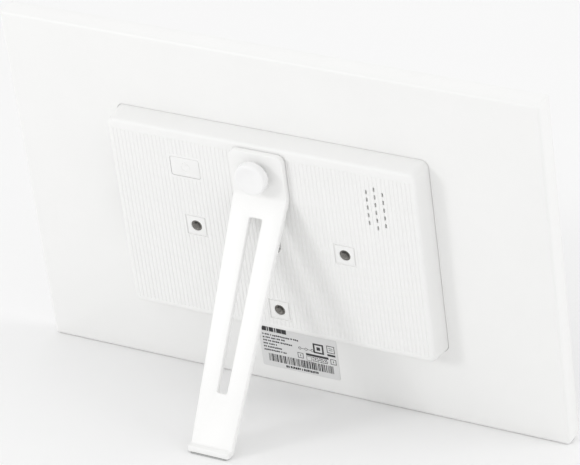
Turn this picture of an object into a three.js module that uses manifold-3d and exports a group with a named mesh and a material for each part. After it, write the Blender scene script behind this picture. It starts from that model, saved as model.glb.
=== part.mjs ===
// A free-standing digital photo frame of the 10-inch class, in millimetres, +Z up.
// The display faces -Y. The frame leans back on its rear lower edge and on a bent leg behind it.
// Inside the leaning group, x is sideways, y is depth (0 on the back face of the panel, growing
// towards the back) and z runs up along the panel from the middle of its back face.
import * as THREE from 'three';
import { mergeVertices } from 'three/addons/utils/BufferGeometryUtils.js';
import Module from 'manifold-3d';

const wasm = await Module();
wasm.setup();

// ---------------------------------------------------------------- driving dimensions
const leanAngle = THREE.MathUtils.degToRad(13.6);
const gap = 0.3;
const tightGap = 0.15;

// Panel
const panelWidth = 267;
const panelHeight = 176;
const panelDepth = 10.2;
const panelCorner = 1.6;
const shoulderRadius = 1.5;
const panelWall = 2.2;
const backThickness = 2;

// Front
const bezelThickness = 1.8;
const windowLip = 0.4;
const screenWidth = 217;
const screenHeight = 136;
const windowMargin = 0.8;
const windowBevel = 1.4;
const hookLength = 2.6;
const hookWidth = 12;
const hookThickness = 1.6;

// Screen stack, from front to back
const touchMargin = 7;
const touchThickness = 0.9;
const cellMargin = 6.2;
const cellThickness = 0.9;
const stackGap = 0.2;
const filmThickness = 0.3;
const guideThickness = 1.2;
const reflectorThickness = 0.2;
const chassisThickness = 0.4;
const mouldFrameWidth = 3.4;
const ledStripHeight = 0.9;
const ledStripThickness = 0.4;
const ledSize = [3, 0.6, 0.7];
const ledCount = 18;

// Electronics box
const boxWidth = 155.6;
const boxHeight = 100.2;
const boxDepth = 11.3;
const boxCorner = 3.5;
const boxDraft = 1;
const boxFillet = 1.6;
const boxWall = 2;
const rimSink = 0.5;
const rimGroove = 0.8;
const openingInset = 9.5;

// Ribbed face
const grooveSpacing = 2;
const grooveWidth = 0.7;
const grooveFloor = 0.3;
const grooveDepth = 0.35;
const grooveTopMargin = 5.6;
const grooveBottomMargin = 4.1;
const grooveSideMargin = 3.2;

// Threaded inserts and their pads
const insertSpacing = 75;
const insertRadius = 2.7;
const insertLength = 6;
const insertSink = 0.2;
const threadRadius = 1.75;
const insertWaist = 0.4;
const padSize = 9.2;
const padMoat = 0.55;
const bossWall = 1.5;

// Keyhole for hanging
const keyholeRadius = 5.3;
const keyholeDrop = 1.8;
const keyholeNeckWidth = 4.6;
const keyholeNeckTop = 8.5;
const keyholeRoom = 3.6;
const capWall = 1;

// Power button
const buttonX = 39;
const buttonZ = 30.4;
const buttonWidth = 14.6;
const buttonHeight = 9.6;
const buttonTravel = 0.5;
const buttonCorner = 1;
const buttonClearance = 0.2;
const buttonFlange = 1.2;
const flangeThickness = 0.8;
const stemRadius = 2;
const markRadius = 2.1;
const markWidth = 0.5;
const markRise = 0.15;
const markOpening = 0.6;
const switchSize = 6.2;
const switchHeight = 3.3;
const switchFloor = 0.8;
const plungerRadius = 1.6;

// Speaker and its slots
const speakerX = -56;
const speakerZ = 28;
const speakerWidth = 20;
const speakerHeight = 30;
const speakerDepth = 3;
const slotSpacing = 4;
const slotRows = [5, 6, 5];
const slotWidth = 0.9;
const slotLength = 2.2;
const gasketThickness = 0.8;
const gasketWidth = 2;
const basketRim = 1.5;
const coneDepth = 1.5;
const magnetRadius = 6.5;
const magnetDepth = 1.4;
const leadRadius = 0.7;

// Main board
const boardThickness = 1.6;
const boardFront = 1.5;
const boardLeft = -36;
const boardSideGap = 3;
const boardBottom = -31;
const boardTop = 38;
const boardScrewInset = 3.5;
const partGap = 0.1;

// What the board carries
const shieldHeight = 24;
const shieldDepth = 2.2;
const shieldWall = 0.4;
const shieldZ = -4;
const shieldCapRoom = 1.7;
const shieldInsertRoom = 3.3;
const memorySize = [12, 12, 1];
const memoryPlace = [0, 0, -2];
const antennaSize = [42, 8, 0.3];
const antennaPlace = [29, 0, -38];
const flatCableX = [-24, -6];
const flatCableThickness = 0.3;
const flatCableBend = 1.8;
const connectorMargin = 2;
const connectorHeight = 4;
const connectorDepth = 1.6;

// Ports on the side wall
const jackZ = -18;
const jackWidth = 9;
const jackLength = 13;
const jackHoleRadius = 2.8;
const jackPinRadius = 1;
const jackSocketDepth = 9.5;
const usbZ = -3;
const usbWidth = 13.2;
const usbHeight = 5.7;
const usbLength = 14;
const usbTongueWidth = 10;
const usbTongueThickness = 1.4;
const cardZ = 17;
const cardWidth = 26;
const cardHeight = 2.8;
const cardLength = 24;
const portSheet = 0.35;
const portBackWall = 2;

// Screws
const screwShank = 1.15;
const screwHead = 2.4;
const screwHeadHeight = 1.1;
const screwLength = 5.5;
const recessLength = 2.6;
const recessWidth = 0.6;

// Stand
const legThickness = 2.8;
const legHeadWidth = 26.8;
const legFootWidth = 20.6;
const legHeadAbove = 9.8;
const legHeadBelow = 12.5;
const legAngle = THREE.MathUtils.degToRad(36.8);
const legBendRadius = 5;
const footLength = 4.2;
const footBendRadius = 2.2;
const legHeadCorner = 3.5;
const legSlotTopWidth = 6.4;
const legSlotBottomWidth = 5;
const legSlotStart = 10.5;
const legSlotEnd = 88.6;
const legSlotCorner = 0.9;
const footPadThickness = 0.6;

// Thumbscrew
const studRadius = 1.6;
const studEngagement = 5.4;
const knobRadius = 7.6;
const knobDepth = 4.2;
const collarRadius = 4.8;
const collarDepth = 2.6;
const knobFrontEdge = 0.6;
const knobBackEdge = 0.9;
const studCover = 1.6;

// Label
const labelWidth = 40;
const labelHeight = 26;
const labelBelowBox = 3.4;
const labelThickness = 0.2;
const labelRecess = 0.15;

// ---------------------------------------------------------------- sizes that follow from them
const frontFace = -panelDepth;
const bezelBack = frontFace + bezelThickness;
const touchFront = bezelBack + gap;
const cellFront = touchFront + touchThickness + stackGap;
const filmFront = cellFront + cellThickness + stackGap;
const guideFront = filmFront + filmThickness + stackGap;
const reflectorFront = guideFront + guideThickness + stackGap;
const chassisFront = reflectorFront + reflectorThickness + stackGap;
const backInside = -backThickness;
const faceInside = boxDepth - boxWall;
const boardBack = boardFront + boardThickness;
const partBack = boardBack + partGap;
const boardRight = boxWidth / 2 - boxWall - boardSideGap;
const openingWidth = boxWidth - 2 * openingInset;
const openingHeight = boxHeight - 2 * openingInset;
const insertAxisZ = insertSpacing / 2;
const shieldLeft = keyholeRadius + capWall + shieldCapRoom;
const shieldRight = insertSpacing / 2 - insertRadius - bossWall - shieldInsertRoom;
const shieldPlace = [(shieldLeft + shieldRight) / 2, 0, shieldZ];
const segments = 5;

// ---------------------------------------------------------------- shapes and solids
// A closed geometry as a solid that can be cut and joined.
function solid(geometry) {
  const bare = geometry.clone();
  bare.deleteAttribute('normal');
  bare.deleteAttribute('uv');
  const merged = mergeVertices(bare, 1e-4);
  const source = merged.index.array;
  const kept = [];
  for (let i = 0; i < source.length; i += 3) {
    const [a, b, c] = [source[i], source[i + 1], source[i + 2]];
    if (a !== b && b !== c && c !== a) kept.push(a, b, c);
  }
  return new wasm.Manifold(new wasm.Mesh({
    numProp: 3,
    vertProperties: merged.attributes.position.array,
    triVerts: new Uint32Array(kept),
  }));
}

function geometryOf(body) {
  const mesh = body.getMesh();
  const geometry = new THREE.BufferGeometry();
  geometry.setAttribute('position', new THREE.BufferAttribute(mesh.vertProperties, 3));
  geometry.setIndex(new THREE.BufferAttribute(mesh.triVerts, 1));
  geometry.computeVertexNormals();
  return geometry;
}

function join(bodies) {
  return bodies.reduce((whole, body) => whole.add(body));
}

function cut(whole, bodies) {
  return bodies.reduce((rest, body) => rest.subtract(body), whole);
}

// A block between two corners.
function block(x0, x1, y0, y1, z0, z1) {
  const geometry = new THREE.BoxGeometry(x1 - x0, y1 - y0, z1 - z0);
  geometry.translate((x0 + x1) / 2, (y0 + y1) / 2, (z0 + z1) / 2);
  return solid(geometry);
}

// A block of a width and height about a point of the panel, between two depths.
function centredBlock(x, z, width, height, y0, y1) {
  return block(x - width / 2, x + width / 2, y0, y1, z - height / 2, z + height / 2);
}

function roundedRectangle(width, height, radius) {
  const shape = new THREE.Shape();
  const x = width / 2 - radius;
  const y = height / 2 - radius;
  const quarter = Math.PI / 2;
  shape.moveTo(x, -height / 2);
  shape.absarc(x, -y, radius, -quarter, 0, false);
  shape.absarc(x, y, radius, 0, quarter, false);
  shape.absarc(-x, y, radius, quarter, 2 * quarter, false);
  shape.absarc(-x, -y, radius, 2 * quarter, 3 * quarter, false);
  shape.closePath();
  return shape;
}

// An outline drawn in x and z, given a thickness from depth y0 back to depth y1.
function throughGeometry(shape, y0, y1, fillet = 0, x = 0, z = 0) {
  const geometry = new THREE.ExtrudeGeometry(shape, {
    depth: y1 - y0 - 2 * fillet,
    bevelEnabled: fillet > 0,
    bevelThickness: fillet,
    bevelSize: fillet,
    bevelOffset: -fillet,
    bevelSegments: 3,
    curveSegments: segments,
  });
  return geometry.rotateX(Math.PI / 2).translate(x, y1 - fillet, z);
}

function through(shape, y0, y1, fillet = 0, x = 0, z = 0) {
  return solid(throughGeometry(shape, y0, y1, fillet, x, z));
}

// An outline drawn in y and z, given a width from x0 to x1.
function sideways(shape, x0, x1) {
  const turn = new THREE.Matrix4().makeBasis(
    new THREE.Vector3(0, 1, 0),
    new THREE.Vector3(0, 0, 1),
    new THREE.Vector3(1, 0, 0),
  );
  const geometry = new THREE.ExtrudeGeometry(shape, { depth: x1 - x0, bevelEnabled: false });
  return solid(geometry.applyMatrix4(turn).translate(x0, 0, 0));
}

// A body turned about an axis along the depth, from [radius, depth] pairs.
function turned(pairs, x, z, sides = 20) {
  const profile = pairs.map(([radius, depth]) => new THREE.Vector2(radius, depth));
  return solid(new THREE.LatheGeometry(profile, sides).translate(x, 0, z));
}

function rod(radius, y0, y1, x, z, sides = 16) {
  return turned([[0, y0], [radius, y0], [radius, y1], [0, y1]], x, z, sides);
}

// A rod along x.
function crossRod(radius, x0, x1, y, z, sides = 20) {
  const geometry = new THREE.CylinderGeometry(radius, radius, x1 - x0, sides);
  return solid(geometry.rotateZ(Math.PI / 2).translate((x0 + x1) / 2, y, z));
}

// A centreline through the given points with its corners rounded.
function roundedCentreline(points, radii) {
  const line = [points[0]];
  for (let i = 1; i < points.length - 1; i += 1) {
    const before = points[i - 1].clone().sub(points[i]).normalize();
    const after = points[i + 1].clone().sub(points[i]).normalize();
    const half = before.angleTo(after) / 2;
    const reach = radii[i - 1] / Math.tan(half);
    const centre = before.clone().add(after).normalize()
      .multiplyScalar(radii[i - 1] / Math.sin(half)).add(points[i]);
    const start = before.multiplyScalar(reach).add(points[i]).sub(centre);
    const end = after.multiplyScalar(reach).add(points[i]).sub(centre);
    let sweep = end.angle() - start.angle();
    if (sweep > Math.PI) sweep -= 2 * Math.PI;
    if (sweep < -Math.PI) sweep += 2 * Math.PI;
    for (let step = 0; step <= segments; step += 1) {
      const spoke = start.clone().rotateAround(new THREE.Vector2(), (sweep * step) / segments);
      line.push(spoke.add(centre));
    }
  }
  line.push(points[points.length - 1]);
  return line;
}

// The outline of a strip of even thickness that follows a centreline.
function stripOutline(line, thickness) {
  const left = [];
  const right = [];
  line.forEach((point, i) => {
    const behind = point.clone().sub(line[Math.max(i - 1, 0)]).normalize();
    const ahead = line[Math.min(i + 1, line.length - 1)].clone().sub(point).normalize();
    const along = behind.clone().add(ahead).normalize();
    const reach = thickness / 2 / Math.max(along.dot(i > 0 ? behind : ahead), 0.5);
    const aside = new THREE.Vector2(-along.y, along.x).multiplyScalar(reach);
    left.push(point.clone().add(aside));
    right.unshift(point.clone().sub(aside));
  });
  return new THREE.Shape(left.concat(right));
}

// Draws the sides of a body in towards the back, by a slope per millimetre of depth.
function drafted(geometry, slope) {
  const position = geometry.attributes.position;
  for (let i = 0; i < position.count; i += 1) {
    const inward = slope * position.getY(i);
    position.setX(i, position.getX(i) - Math.sign(position.getX(i)) * inward);
    position.setZ(i, position.getZ(i) - Math.sign(position.getZ(i)) * inward);
  }
  return geometry;
}

// ---------------------------------------------------------------- finishes
const finishes = {
  whitePlastic: { color: '#f1f1f0', roughness: 0.5, metalness: 0 },
  blackGlass: { color: '#0b0c0e', roughness: 0.08, metalness: 0 },
  clearPlastic: { color: '#dfe8ea', roughness: 0.15, metalness: 0 },
  whiteFilm: { color: '#f4f4f2', roughness: 0.6, metalness: 0 },
  sheetSteel: { color: '#9a9da0', roughness: 0.35, metalness: 1 },
  nickel: { color: '#b9b6ae', roughness: 0.3, metalness: 1 },
  circuitBoard: { color: '#1d5a35', roughness: 0.5, metalness: 0 },
  chipBlack: { color: '#1b1c1e', roughness: 0.6, metalness: 0 },
  blackRubber: { color: '#242526', roughness: 0.85, metalness: 0 },
  greyRubber: { color: '#c9cac9', roughness: 0.8, metalness: 0 },
  flexFilm: { color: '#c98a3a', roughness: 0.45, metalness: 0 },
  paperLabel: { color: '#d9dadb', roughness: 0.55, metalness: 0 },
};

function piece(name, body, finish, place = [0, 0, 0]) {
  const mesh = new THREE.Mesh(geometryOf(body), new THREE.MeshStandardMaterial(finishes[finish]));
  mesh.name = name;
  mesh.position.set(...place);
  return mesh;
}

function groupAt(x, y, z, children) {
  const group = new THREE.Group();
  group.position.set(x, y, z);
  group.add(...children);
  return group;
}

// ---------------------------------------------------------------- panel
function rearCover() {
  const outline = roundedRectangle(panelWidth, panelHeight, panelCorner);
  const shell = through(outline, frontFace - 2 * shoulderRadius, 0, shoulderRadius);
  const reach = panelWidth;
  const frontTrim = block(-reach, reach, frontFace - 3 * shoulderRadius, frontFace, -reach, reach);
  const hollow = centredBlock(0, 0, panelWidth - 2 * panelWall, panelHeight - 2 * panelWall,
    frontFace - 1, backInside);
  const opening = centredBlock(0, 0, openingWidth, openingHeight, backInside - 1, 1);
  const rimOutside = roundedRectangle(boxWidth + 2 * gap, boxHeight + 2 * gap, boxCorner + gap);
  const rimInside = roundedRectangle(boxWidth - 2 * boxWall - 2 * gap,
    boxHeight - 2 * boxWall - 2 * gap, boxCorner - boxWall / 2 - gap);
  const groove = through(rimOutside, -rimGroove, 1).subtract(through(rimInside, -2 * rimGroove, 2));
  const labelSeat = centredBlock(0, labelCentreZ(), labelWidth + 2 * tightGap,
    labelHeight + 2 * tightGap, -labelRecess, 1);
  const screwHoles = housingScrewPlaces().flatMap(([x, z]) => [
    rod(screwShank + tightGap, backInside - 1, 1, x, z),
    rod(screwHead + tightGap, backInside - 1, backInside + screwHeadHeight + tightGap, x, z),
  ]);
  return cut(shell, [frontTrim, hollow, opening, groove, labelSeat, ...screwHoles]);
}

function frontBezel() {
  const width = panelWidth - 2 * panelWall - 2 * gap;
  const height = panelHeight - 2 * panelWall - 2 * gap;
  const plate = centredBlock(0, 0, width, height, frontFace, bezelBack);
  const windowWidth = screenWidth + 2 * windowMargin;
  const windowHeight = screenHeight + 2 * windowMargin;
  const window = centredBlock(0, 0, windowWidth, windowHeight, frontFace - 1, bezelBack + 1);
  const bevel = throughGeometry(
    roundedRectangle(windowWidth, windowHeight, tightGap), frontFace - 1, bezelBack - windowLip,
  );
  const spread = windowBevel / (bezelThickness - windowLip);
  const position = bevel.attributes.position;
  for (let i = 0; i < position.count; i += 1) {
    const outward = spread * (bezelBack - windowLip - position.getY(i));
    position.setX(i, position.getX(i) + Math.sign(position.getX(i)) * outward);
    position.setZ(i, position.getZ(i) + Math.sign(position.getZ(i)) * outward);
  }
  const hooks = [];
  const hookFront = bezelBack - windowLip;
  const hookBack = bezelBack + hookLength;
  for (const side of [-1, 1]) {
    for (const share of [-0.3, 0, 0.3]) {
      const x = side * (width - hookThickness) / 2;
      const z = side * (height - hookThickness) / 2;
      hooks.push(centredBlock(x, share * height, hookThickness, hookWidth, hookFront, hookBack));
      hooks.push(centredBlock(share * width, z, hookWidth, hookThickness, hookFront, hookBack));
    }
  }
  return join([cut(plate, [window, solid(bevel)]), ...hooks]);
}

// ---------------------------------------------------------------- screen
function sheet(margin, y0, thickness) {
  return centredBlock(0, 0, screenWidth + 2 * margin, screenHeight + 2 * margin, y0, y0 + thickness);
}

function lcdChassis() {
  const width = screenWidth + 2 * cellMargin;
  const height = screenHeight + 2 * cellMargin;
  const wall = 2 * (stackGap + chassisThickness);
  const tray = centredBlock(0, 0, width + wall, height + wall, filmFront,
    chassisFront + chassisThickness);
  const hollow = centredBlock(0, 0, width + 2 * stackGap, height + 2 * stackGap, filmFront - 1,
    chassisFront);
  return tray.subtract(hollow);
}

function lcdFrame() {
  const outer = sheet(cellMargin, filmFront, chassisFront - stackGap - filmFront);
  const margin = cellMargin - mouldFrameWidth;
  const inner = sheet(margin, filmFront - 1, chassisFront - filmFront + 2);
  return outer.subtract(inner);
}

function backlightStrip() {
  const length = 0.92 * screenWidth;
  const top = -(screenHeight / 2 + cellMargin - mouldFrameWidth) + stackGap + ledStripHeight;
  const bottom = top - ledStripHeight;
  const barBack = guideFront + ledStripThickness;
  const bar = block(-length / 2, length / 2, guideFront, barBack, bottom, top);
  const [ledWidth, ledHeight, ledDepth] = ledSize;
  const leds = [];
  for (let i = 0; i < ledCount; i += 1) {
    const x = ((i + 0.5) / ledCount - 0.5) * length;
    const z = (top + bottom) / 2;
    leds.push(centredBlock(x, z, ledWidth, ledHeight, barBack - ledStripThickness / 2, barBack + ledDepth));
  }
  return join([bar, ...leds]);
}

function lightGuide() {
  const margin = cellMargin - mouldFrameWidth - stackGap;
  const guide = sheet(margin, guideFront, guideThickness);
  const bottom = -(screenHeight / 2 + margin);
  const strip = block(-panelWidth / 2, panelWidth / 2, guideFront - 1, chassisFront,
    bottom - 1, bottom + ledStripHeight + stackGap);
  return guide.subtract(strip);
}

// ---------------------------------------------------------------- electronics box
function housingScrewPlaces() {
  const x = boxWidth / 2 - boxWall - screwHead - bossWall;
  const z = boxHeight / 2 - boxWall - screwHead - bossWall;
  return [[x, z], [-x, z], [-x, -z], [x, -z]];
}

function boardScrewPlaces() {
  const left = boardLeft + boardScrewInset;
  const right = boardRight - boardScrewInset;
  const bottom = boardBottom + boardScrewInset;
  const top = boardTop - boardScrewInset;
  return [[left, bottom], [left, top], [right, top], [right, bottom]];
}

function insertPlaces() {
  return [
    ['insert_left', insertAxisZ, 0],
    ['insert_right', -insertAxisZ, 0],
    ['insert_top', 0, insertAxisZ],
    ['insert_bottom', 0, -insertAxisZ],
  ];
}

function grooveComb() {
  const above = boxDepth + grooveDepth;
  const half = boxWidth / 2 - grooveSideMargin;
  const count = Math.floor(half / grooveSpacing);
  const shape = new THREE.Shape();
  shape.moveTo(-boxWidth / 2, above + 1);
  shape.lineTo(-boxWidth / 2, above);
  for (let i = -count; i <= count; i += 1) {
    const x = i * grooveSpacing;
    shape.lineTo(x - grooveWidth / 2, above);
    shape.lineTo(x - grooveWidth / 2, boxDepth);
    shape.lineTo(x - grooveFloor / 2, boxDepth - grooveDepth);
    shape.lineTo(x + grooveFloor / 2, boxDepth - grooveDepth);
    shape.lineTo(x + grooveWidth / 2, boxDepth);
    shape.lineTo(x + grooveWidth / 2, above);
  }
  shape.lineTo(boxWidth / 2, above);
  shape.lineTo(boxWidth / 2, above + 1);
  shape.closePath();
  const bottom = -boxHeight / 2 + grooveBottomMargin;
  const top = boxHeight / 2 - grooveTopMargin;
  const comb = new THREE.ExtrudeGeometry(shape, { depth: top - bottom, bevelEnabled: false });
  const padOuter = padSize + 2 * padMoat;
  const pads = insertPlaces().map(([, x, z]) => centredBlock(x, z, padOuter, padOuter, 0, 2 * boxDepth));
  const buttonPad = centredBlock(buttonX, buttonZ, buttonWidth + 2, buttonHeight + 2, 0, 2 * boxDepth);
  const moats = insertPlaces().map(([, x, z]) => {
    const outer = centredBlock(x, z, padOuter, padOuter, boxDepth - grooveDepth, above);
    return outer.subtract(centredBlock(x, z, padSize, padSize, 0, 2 * boxDepth));
  });
  return join([cut(solid(comb.translate(0, 0, bottom)), [...pads, buttonPad]), ...moats]);
}

function speakerSlots() {
  const slots = [];
  slotRows.forEach((rows, column) => {
    for (let row = 0; row < rows; row += 1) {
      const x = speakerX + (column - (slotRows.length - 1) / 2) * slotSpacing;
      const z = speakerZ + (row - (rows - 1) / 2) * slotSpacing;
      slots.push(centredBlock(x, z, slotWidth, slotLength, faceInside - 1, boxDepth + 1));
    }
  });
  return slots;
}

function keyholeOutline(margin) {
  const shape = new THREE.Shape();
  const radius = keyholeRadius + margin;
  const half = keyholeNeckWidth / 2 + margin;
  const lift = Math.asin(half / radius);
  const straight = keyholeNeckTop - keyholeNeckWidth / 2;
  shape.absarc(0, -keyholeDrop, radius, Math.PI / 2 + lift, Math.PI / 2 - lift + 2 * Math.PI, false);
  shape.absarc(0, straight, half, 0, Math.PI, false);
  shape.closePath();
  return shape;
}

function portPlaces() {
  const front = partBack;
  return {
    jack: { z: jackZ, width: jackWidth, front, back: faceInside - gap, length: jackLength },
    usb: { z: usbZ, width: usbWidth, front, back: front + usbHeight, length: usbLength },
    card: { z: cardZ, width: cardWidth, front, back: front + cardHeight, length: cardLength },
  };
}

// The inside face of the box's side wall at a depth, and the mouth of a port just inside it.
function sideWallInside(depth) {
  return boxWidth / 2 - boxWall - (boxDraft * depth) / boxDepth;
}

function portMouth(port) {
  return sideWallInside(port.back) - gap;
}

function portOpenings() {
  const { jack, usb, card } = portPlaces();
  const x0 = sideWallInside(boxDepth) - 1;
  const x1 = boxWidth;
  const middle = (jack.front + jack.back) / 2;
  return [
    crossRod(jackHoleRadius + tightGap, x0, x1, middle, jack.z),
    block(x0, x1, usb.front, usb.back, usb.z - usb.width / 2, usb.z + usb.width / 2),
    block(x0, x1, card.front, card.back, card.z - card.width / 2, card.z + card.width / 2),
  ];
}

function rearHousing() {
  const slope = boxDraft / boxDepth;
  const below = 2 * boxFillet + rimSink;
  const outline = roundedRectangle(boxWidth, boxHeight, boxCorner);
  const shell = solid(drafted(throughGeometry(outline, -below, boxDepth, boxFillet), slope));
  const trim = block(-boxWidth, boxWidth, -2 * below, -rimSink, -boxWidth, boxWidth);
  const inner = roundedRectangle(boxWidth - 2 * boxWall, boxHeight - 2 * boxWall, boxCorner - boxWall / 2);
  const hollow = solid(drafted(throughGeometry(inner, -2 * below, faceInside), slope));
  const shellCut = cut(shell, [trim, hollow]);
  const insertFront = boxDepth - insertSink - insertLength;
  const rooted = faceInside + boxWall / 4;
  const bosses = insertPlaces().map(([, x, z]) =>
    rod(insertRadius + bossWall, insertFront - bossWall, rooted, x, z));
  const posts = boardScrewPlaces().map(([x, z]) =>
    rod(screwShank + bossWall, boardBack + tightGap, rooted, x, z));
  const corners = housingScrewPlaces().map(([x, z]) =>
    rod(screwShank + bossWall, gap, rooted, x, z));
  const whole = join([shellCut, ...bosses, ...posts, ...corners]);
  const insertSeats = insertPlaces().map(([, x, z]) =>
    rod(insertRadius + tightGap, insertFront - tightGap, boxDepth + 1, x, z));
  const boardHoles = boardScrewPlaces().map(([x, z]) =>
    rod(screwShank + tightGap, 0, boardFront + screwLength + tightGap, x, z));
  const cornerHoles = housingScrewPlaces().map(([x, z]) =>
    rod(screwShank + tightGap, 0, screwLength + tightGap, x, z));
  const keyhole = through(keyholeOutline(0), faceInside - 1, boxDepth + 1);
  const buttonOutline = roundedRectangle(buttonWidth + 2 * buttonClearance,
    buttonHeight + 2 * buttonClearance, buttonCorner + buttonClearance);
  const buttonHole = through(buttonOutline, faceInside - 1, boxDepth + 1, 0, buttonX, buttonZ);
  return cut(whole, [grooveComb(), ...insertSeats, ...boardHoles, ...cornerHoles, keyhole,
    buttonHole, ...speakerSlots(), ...portOpenings()]);
}

function threadedInsert() {
  const back = boxDepth - insertSink;
  const front = back - insertLength;
  const knurl = insertRadius;
  const waist = insertRadius - insertWaist;
  const lower = (front + back - insertWaist) / 2;
  const upper = lower + insertWaist;
  return turned([
    [threadRadius, front], [knurl, front], [knurl, lower], [waist, lower],
    [waist, upper], [knurl, upper], [knurl, back], [threadRadius + gap, back],
    [threadRadius, back - gap], [threadRadius, front],
  ], 0, 0);
}

function keyholeCap() {
  const width = 2 * (keyholeRadius + gap + capWall);
  const bottom = -keyholeDrop - keyholeRadius - gap - capWall;
  const top = keyholeNeckTop + gap + capWall;
  const back = faceInside - gap;
  const front = back - keyholeRoom - capWall;
  const cup = block(-width / 2, width / 2, front, back, bottom, top);
  const room = block(-width / 2 + capWall, width / 2 - capWall, front + capWall, back + 1,
    bottom + capWall, top - capWall);
  return cup.subtract(room);
}

// ---------------------------------------------------------------- button and switch
function powerButton() {
  const outline = roundedRectangle(buttonWidth, buttonHeight, buttonCorner);
  const flangeBack = faceInside - gap;
  const flangeFront = flangeBack - flangeThickness;
  const face = through(outline, flangeFront, boxDepth, gap);
  const flangeOutline = roundedRectangle(buttonWidth + 2 * buttonFlange,
    buttonHeight + 2 * buttonFlange, buttonCorner);
  const flange = through(flangeOutline, flangeFront, flangeBack);
  const stem = rod(stemRadius, switchTop() + buttonTravel + gap, flangeFront + gap, 0, 0);
  return join([face, flange, stem, powerMark()]);
}

// The relief mark: an open ring with a bar in its gap.
function powerMark() {
  const ring = new THREE.Shape();
  const up = Math.PI / 2;
  const outer = markRadius + markWidth / 2;
  const inner = markRadius - markWidth / 2;
  ring.absarc(0, 0, outer, up + markOpening, up - markOpening + 2 * Math.PI, false);
  ring.absarc(0, 0, inner, up - markOpening, up + markOpening, true);
  ring.closePath();
  const front = boxDepth - 2 * gap;
  const bar = centredBlock(0, inner, markWidth, outer, front, boxDepth + markRise);
  return through(ring, front, boxDepth + markRise).add(bar);
}

function switchTop() {
  return partBack + switchHeight;
}

function powerSwitch() {
  const base = centredBlock(0, 0, switchSize, switchSize, partBack, switchTop());
  return base.subtract(rod(plungerRadius + tightGap, partBack + switchFloor, switchTop() + 1, 0, 0));
}

function switchPlunger() {
  const back = switchTop() + buttonTravel;
  return rod(plungerRadius, partBack + switchFloor + buttonTravel + gap, back, 0, 0);
}

// ---------------------------------------------------------------- electronics
function mainBoard() {
  const board = block(boardLeft, boardRight, boardFront, boardBack, boardBottom, boardTop);
  const holes = boardScrewPlaces().map(([x, z]) =>
    rod(screwShank + tightGap, boardFront - 1, boardBack + 1, x, z));
  return cut(board, holes);
}

function processorShield() {
  const width = shieldRight - shieldLeft;
  const inside = 2 * shieldWall;
  const can = centredBlock(0, 0, width, shieldHeight, partBack, partBack + shieldDepth);
  return can.subtract(centredBlock(0, 0, width - inside, shieldHeight - inside, partBack - 1,
    partBack + shieldDepth - shieldWall));
}

function dcJack() {
  const { jack } = portPlaces();
  const mouth = portMouth(jack);
  const middle = (jack.front + jack.back) / 2;
  const body = block(mouth - jack.length, mouth, jack.front, jack.back,
    jack.z - jack.width / 2, jack.z + jack.width / 2);
  const socket = crossRod(jackHoleRadius - gap, mouth - jackSocketDepth, mouth + 1, middle, jack.z);
  const pin = crossRod(jackPinRadius, mouth - jackSocketDepth - gap, mouth - 1, middle, jack.z);
  return body.subtract(socket).add(pin);
}

function usbPort() {
  const { usb } = portPlaces();
  const mouth = portMouth(usb);
  const shell = block(mouth - usb.length, mouth, usb.front + tightGap, usb.back - tightGap,
    usb.z - usb.width / 2 + tightGap, usb.z + usb.width / 2 - tightGap);
  const inset = tightGap + portSheet;
  const room = block(mouth - usb.length + portBackWall, mouth + 1, usb.front + inset,
    usb.back - inset, usb.z - usb.width / 2 + inset, usb.z + usb.width / 2 - inset);
  const tongueBack = usb.back - inset - portSheet * 2;
  const tongue = block(mouth - usb.length + portBackWall / 2, mouth - portBackWall,
    tongueBack - usbTongueThickness, tongueBack, usb.z - usbTongueWidth / 2, usb.z + usbTongueWidth / 2);
  return shell.subtract(room).add(tongue);
}

function cardSlot() {
  const { card } = portPlaces();
  const mouth = portMouth(card);
  const shell = block(mouth - card.length, mouth, card.front + tightGap, card.back - tightGap,
    card.z - card.width / 2 + tightGap, card.z + card.width / 2 - tightGap);
  const inset = tightGap + portSheet;
  const room = block(mouth - card.length + portBackWall, mouth + 1, card.front + inset,
    card.back - inset, card.z - card.width / 2 + inset, card.z + card.width / 2 - inset);
  return shell.subtract(room);
}

function speaker() {
  const back = faceInside - 2 * gap - gasketThickness;
  const front = back - speakerDepth;
  const basket = centredBlock(0, 0, speakerWidth, speakerHeight, front, back);
  const coneWide = speakerWidth / 2 - basketRim;
  const coneFront = back - gap - coneDepth;
  const profile = [
    new THREE.Vector2(0, coneFront),
    new THREE.Vector2(coneWide / 4, coneFront),
    new THREE.Vector2(coneWide, back - gap),
    new THREE.Vector2(coneWide, back + 1),
    new THREE.Vector2(0, back + 1),
  ];
  const cone = new THREE.LatheGeometry(profile, 20);
  cone.scale(1, 1, (speakerHeight / 2 - basketRim) / coneWide);
  const magnet = rod(magnetRadius, front - magnetDepth, front + gap, 0, 0);
  return basket.subtract(solid(cone)).add(magnet);
}

function speakerGasket() {
  const back = faceInside - gap;
  const front = back - gasketThickness;
  const ring = centredBlock(0, 0, speakerWidth, speakerHeight, front, back);
  const insideWidth = speakerWidth - 2 * gasketWidth;
  const insideHeight = speakerHeight - 2 * gasketWidth;
  return ring.subtract(centredBlock(0, 0, insideWidth, insideHeight, front - 1, back + 1));
}

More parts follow.
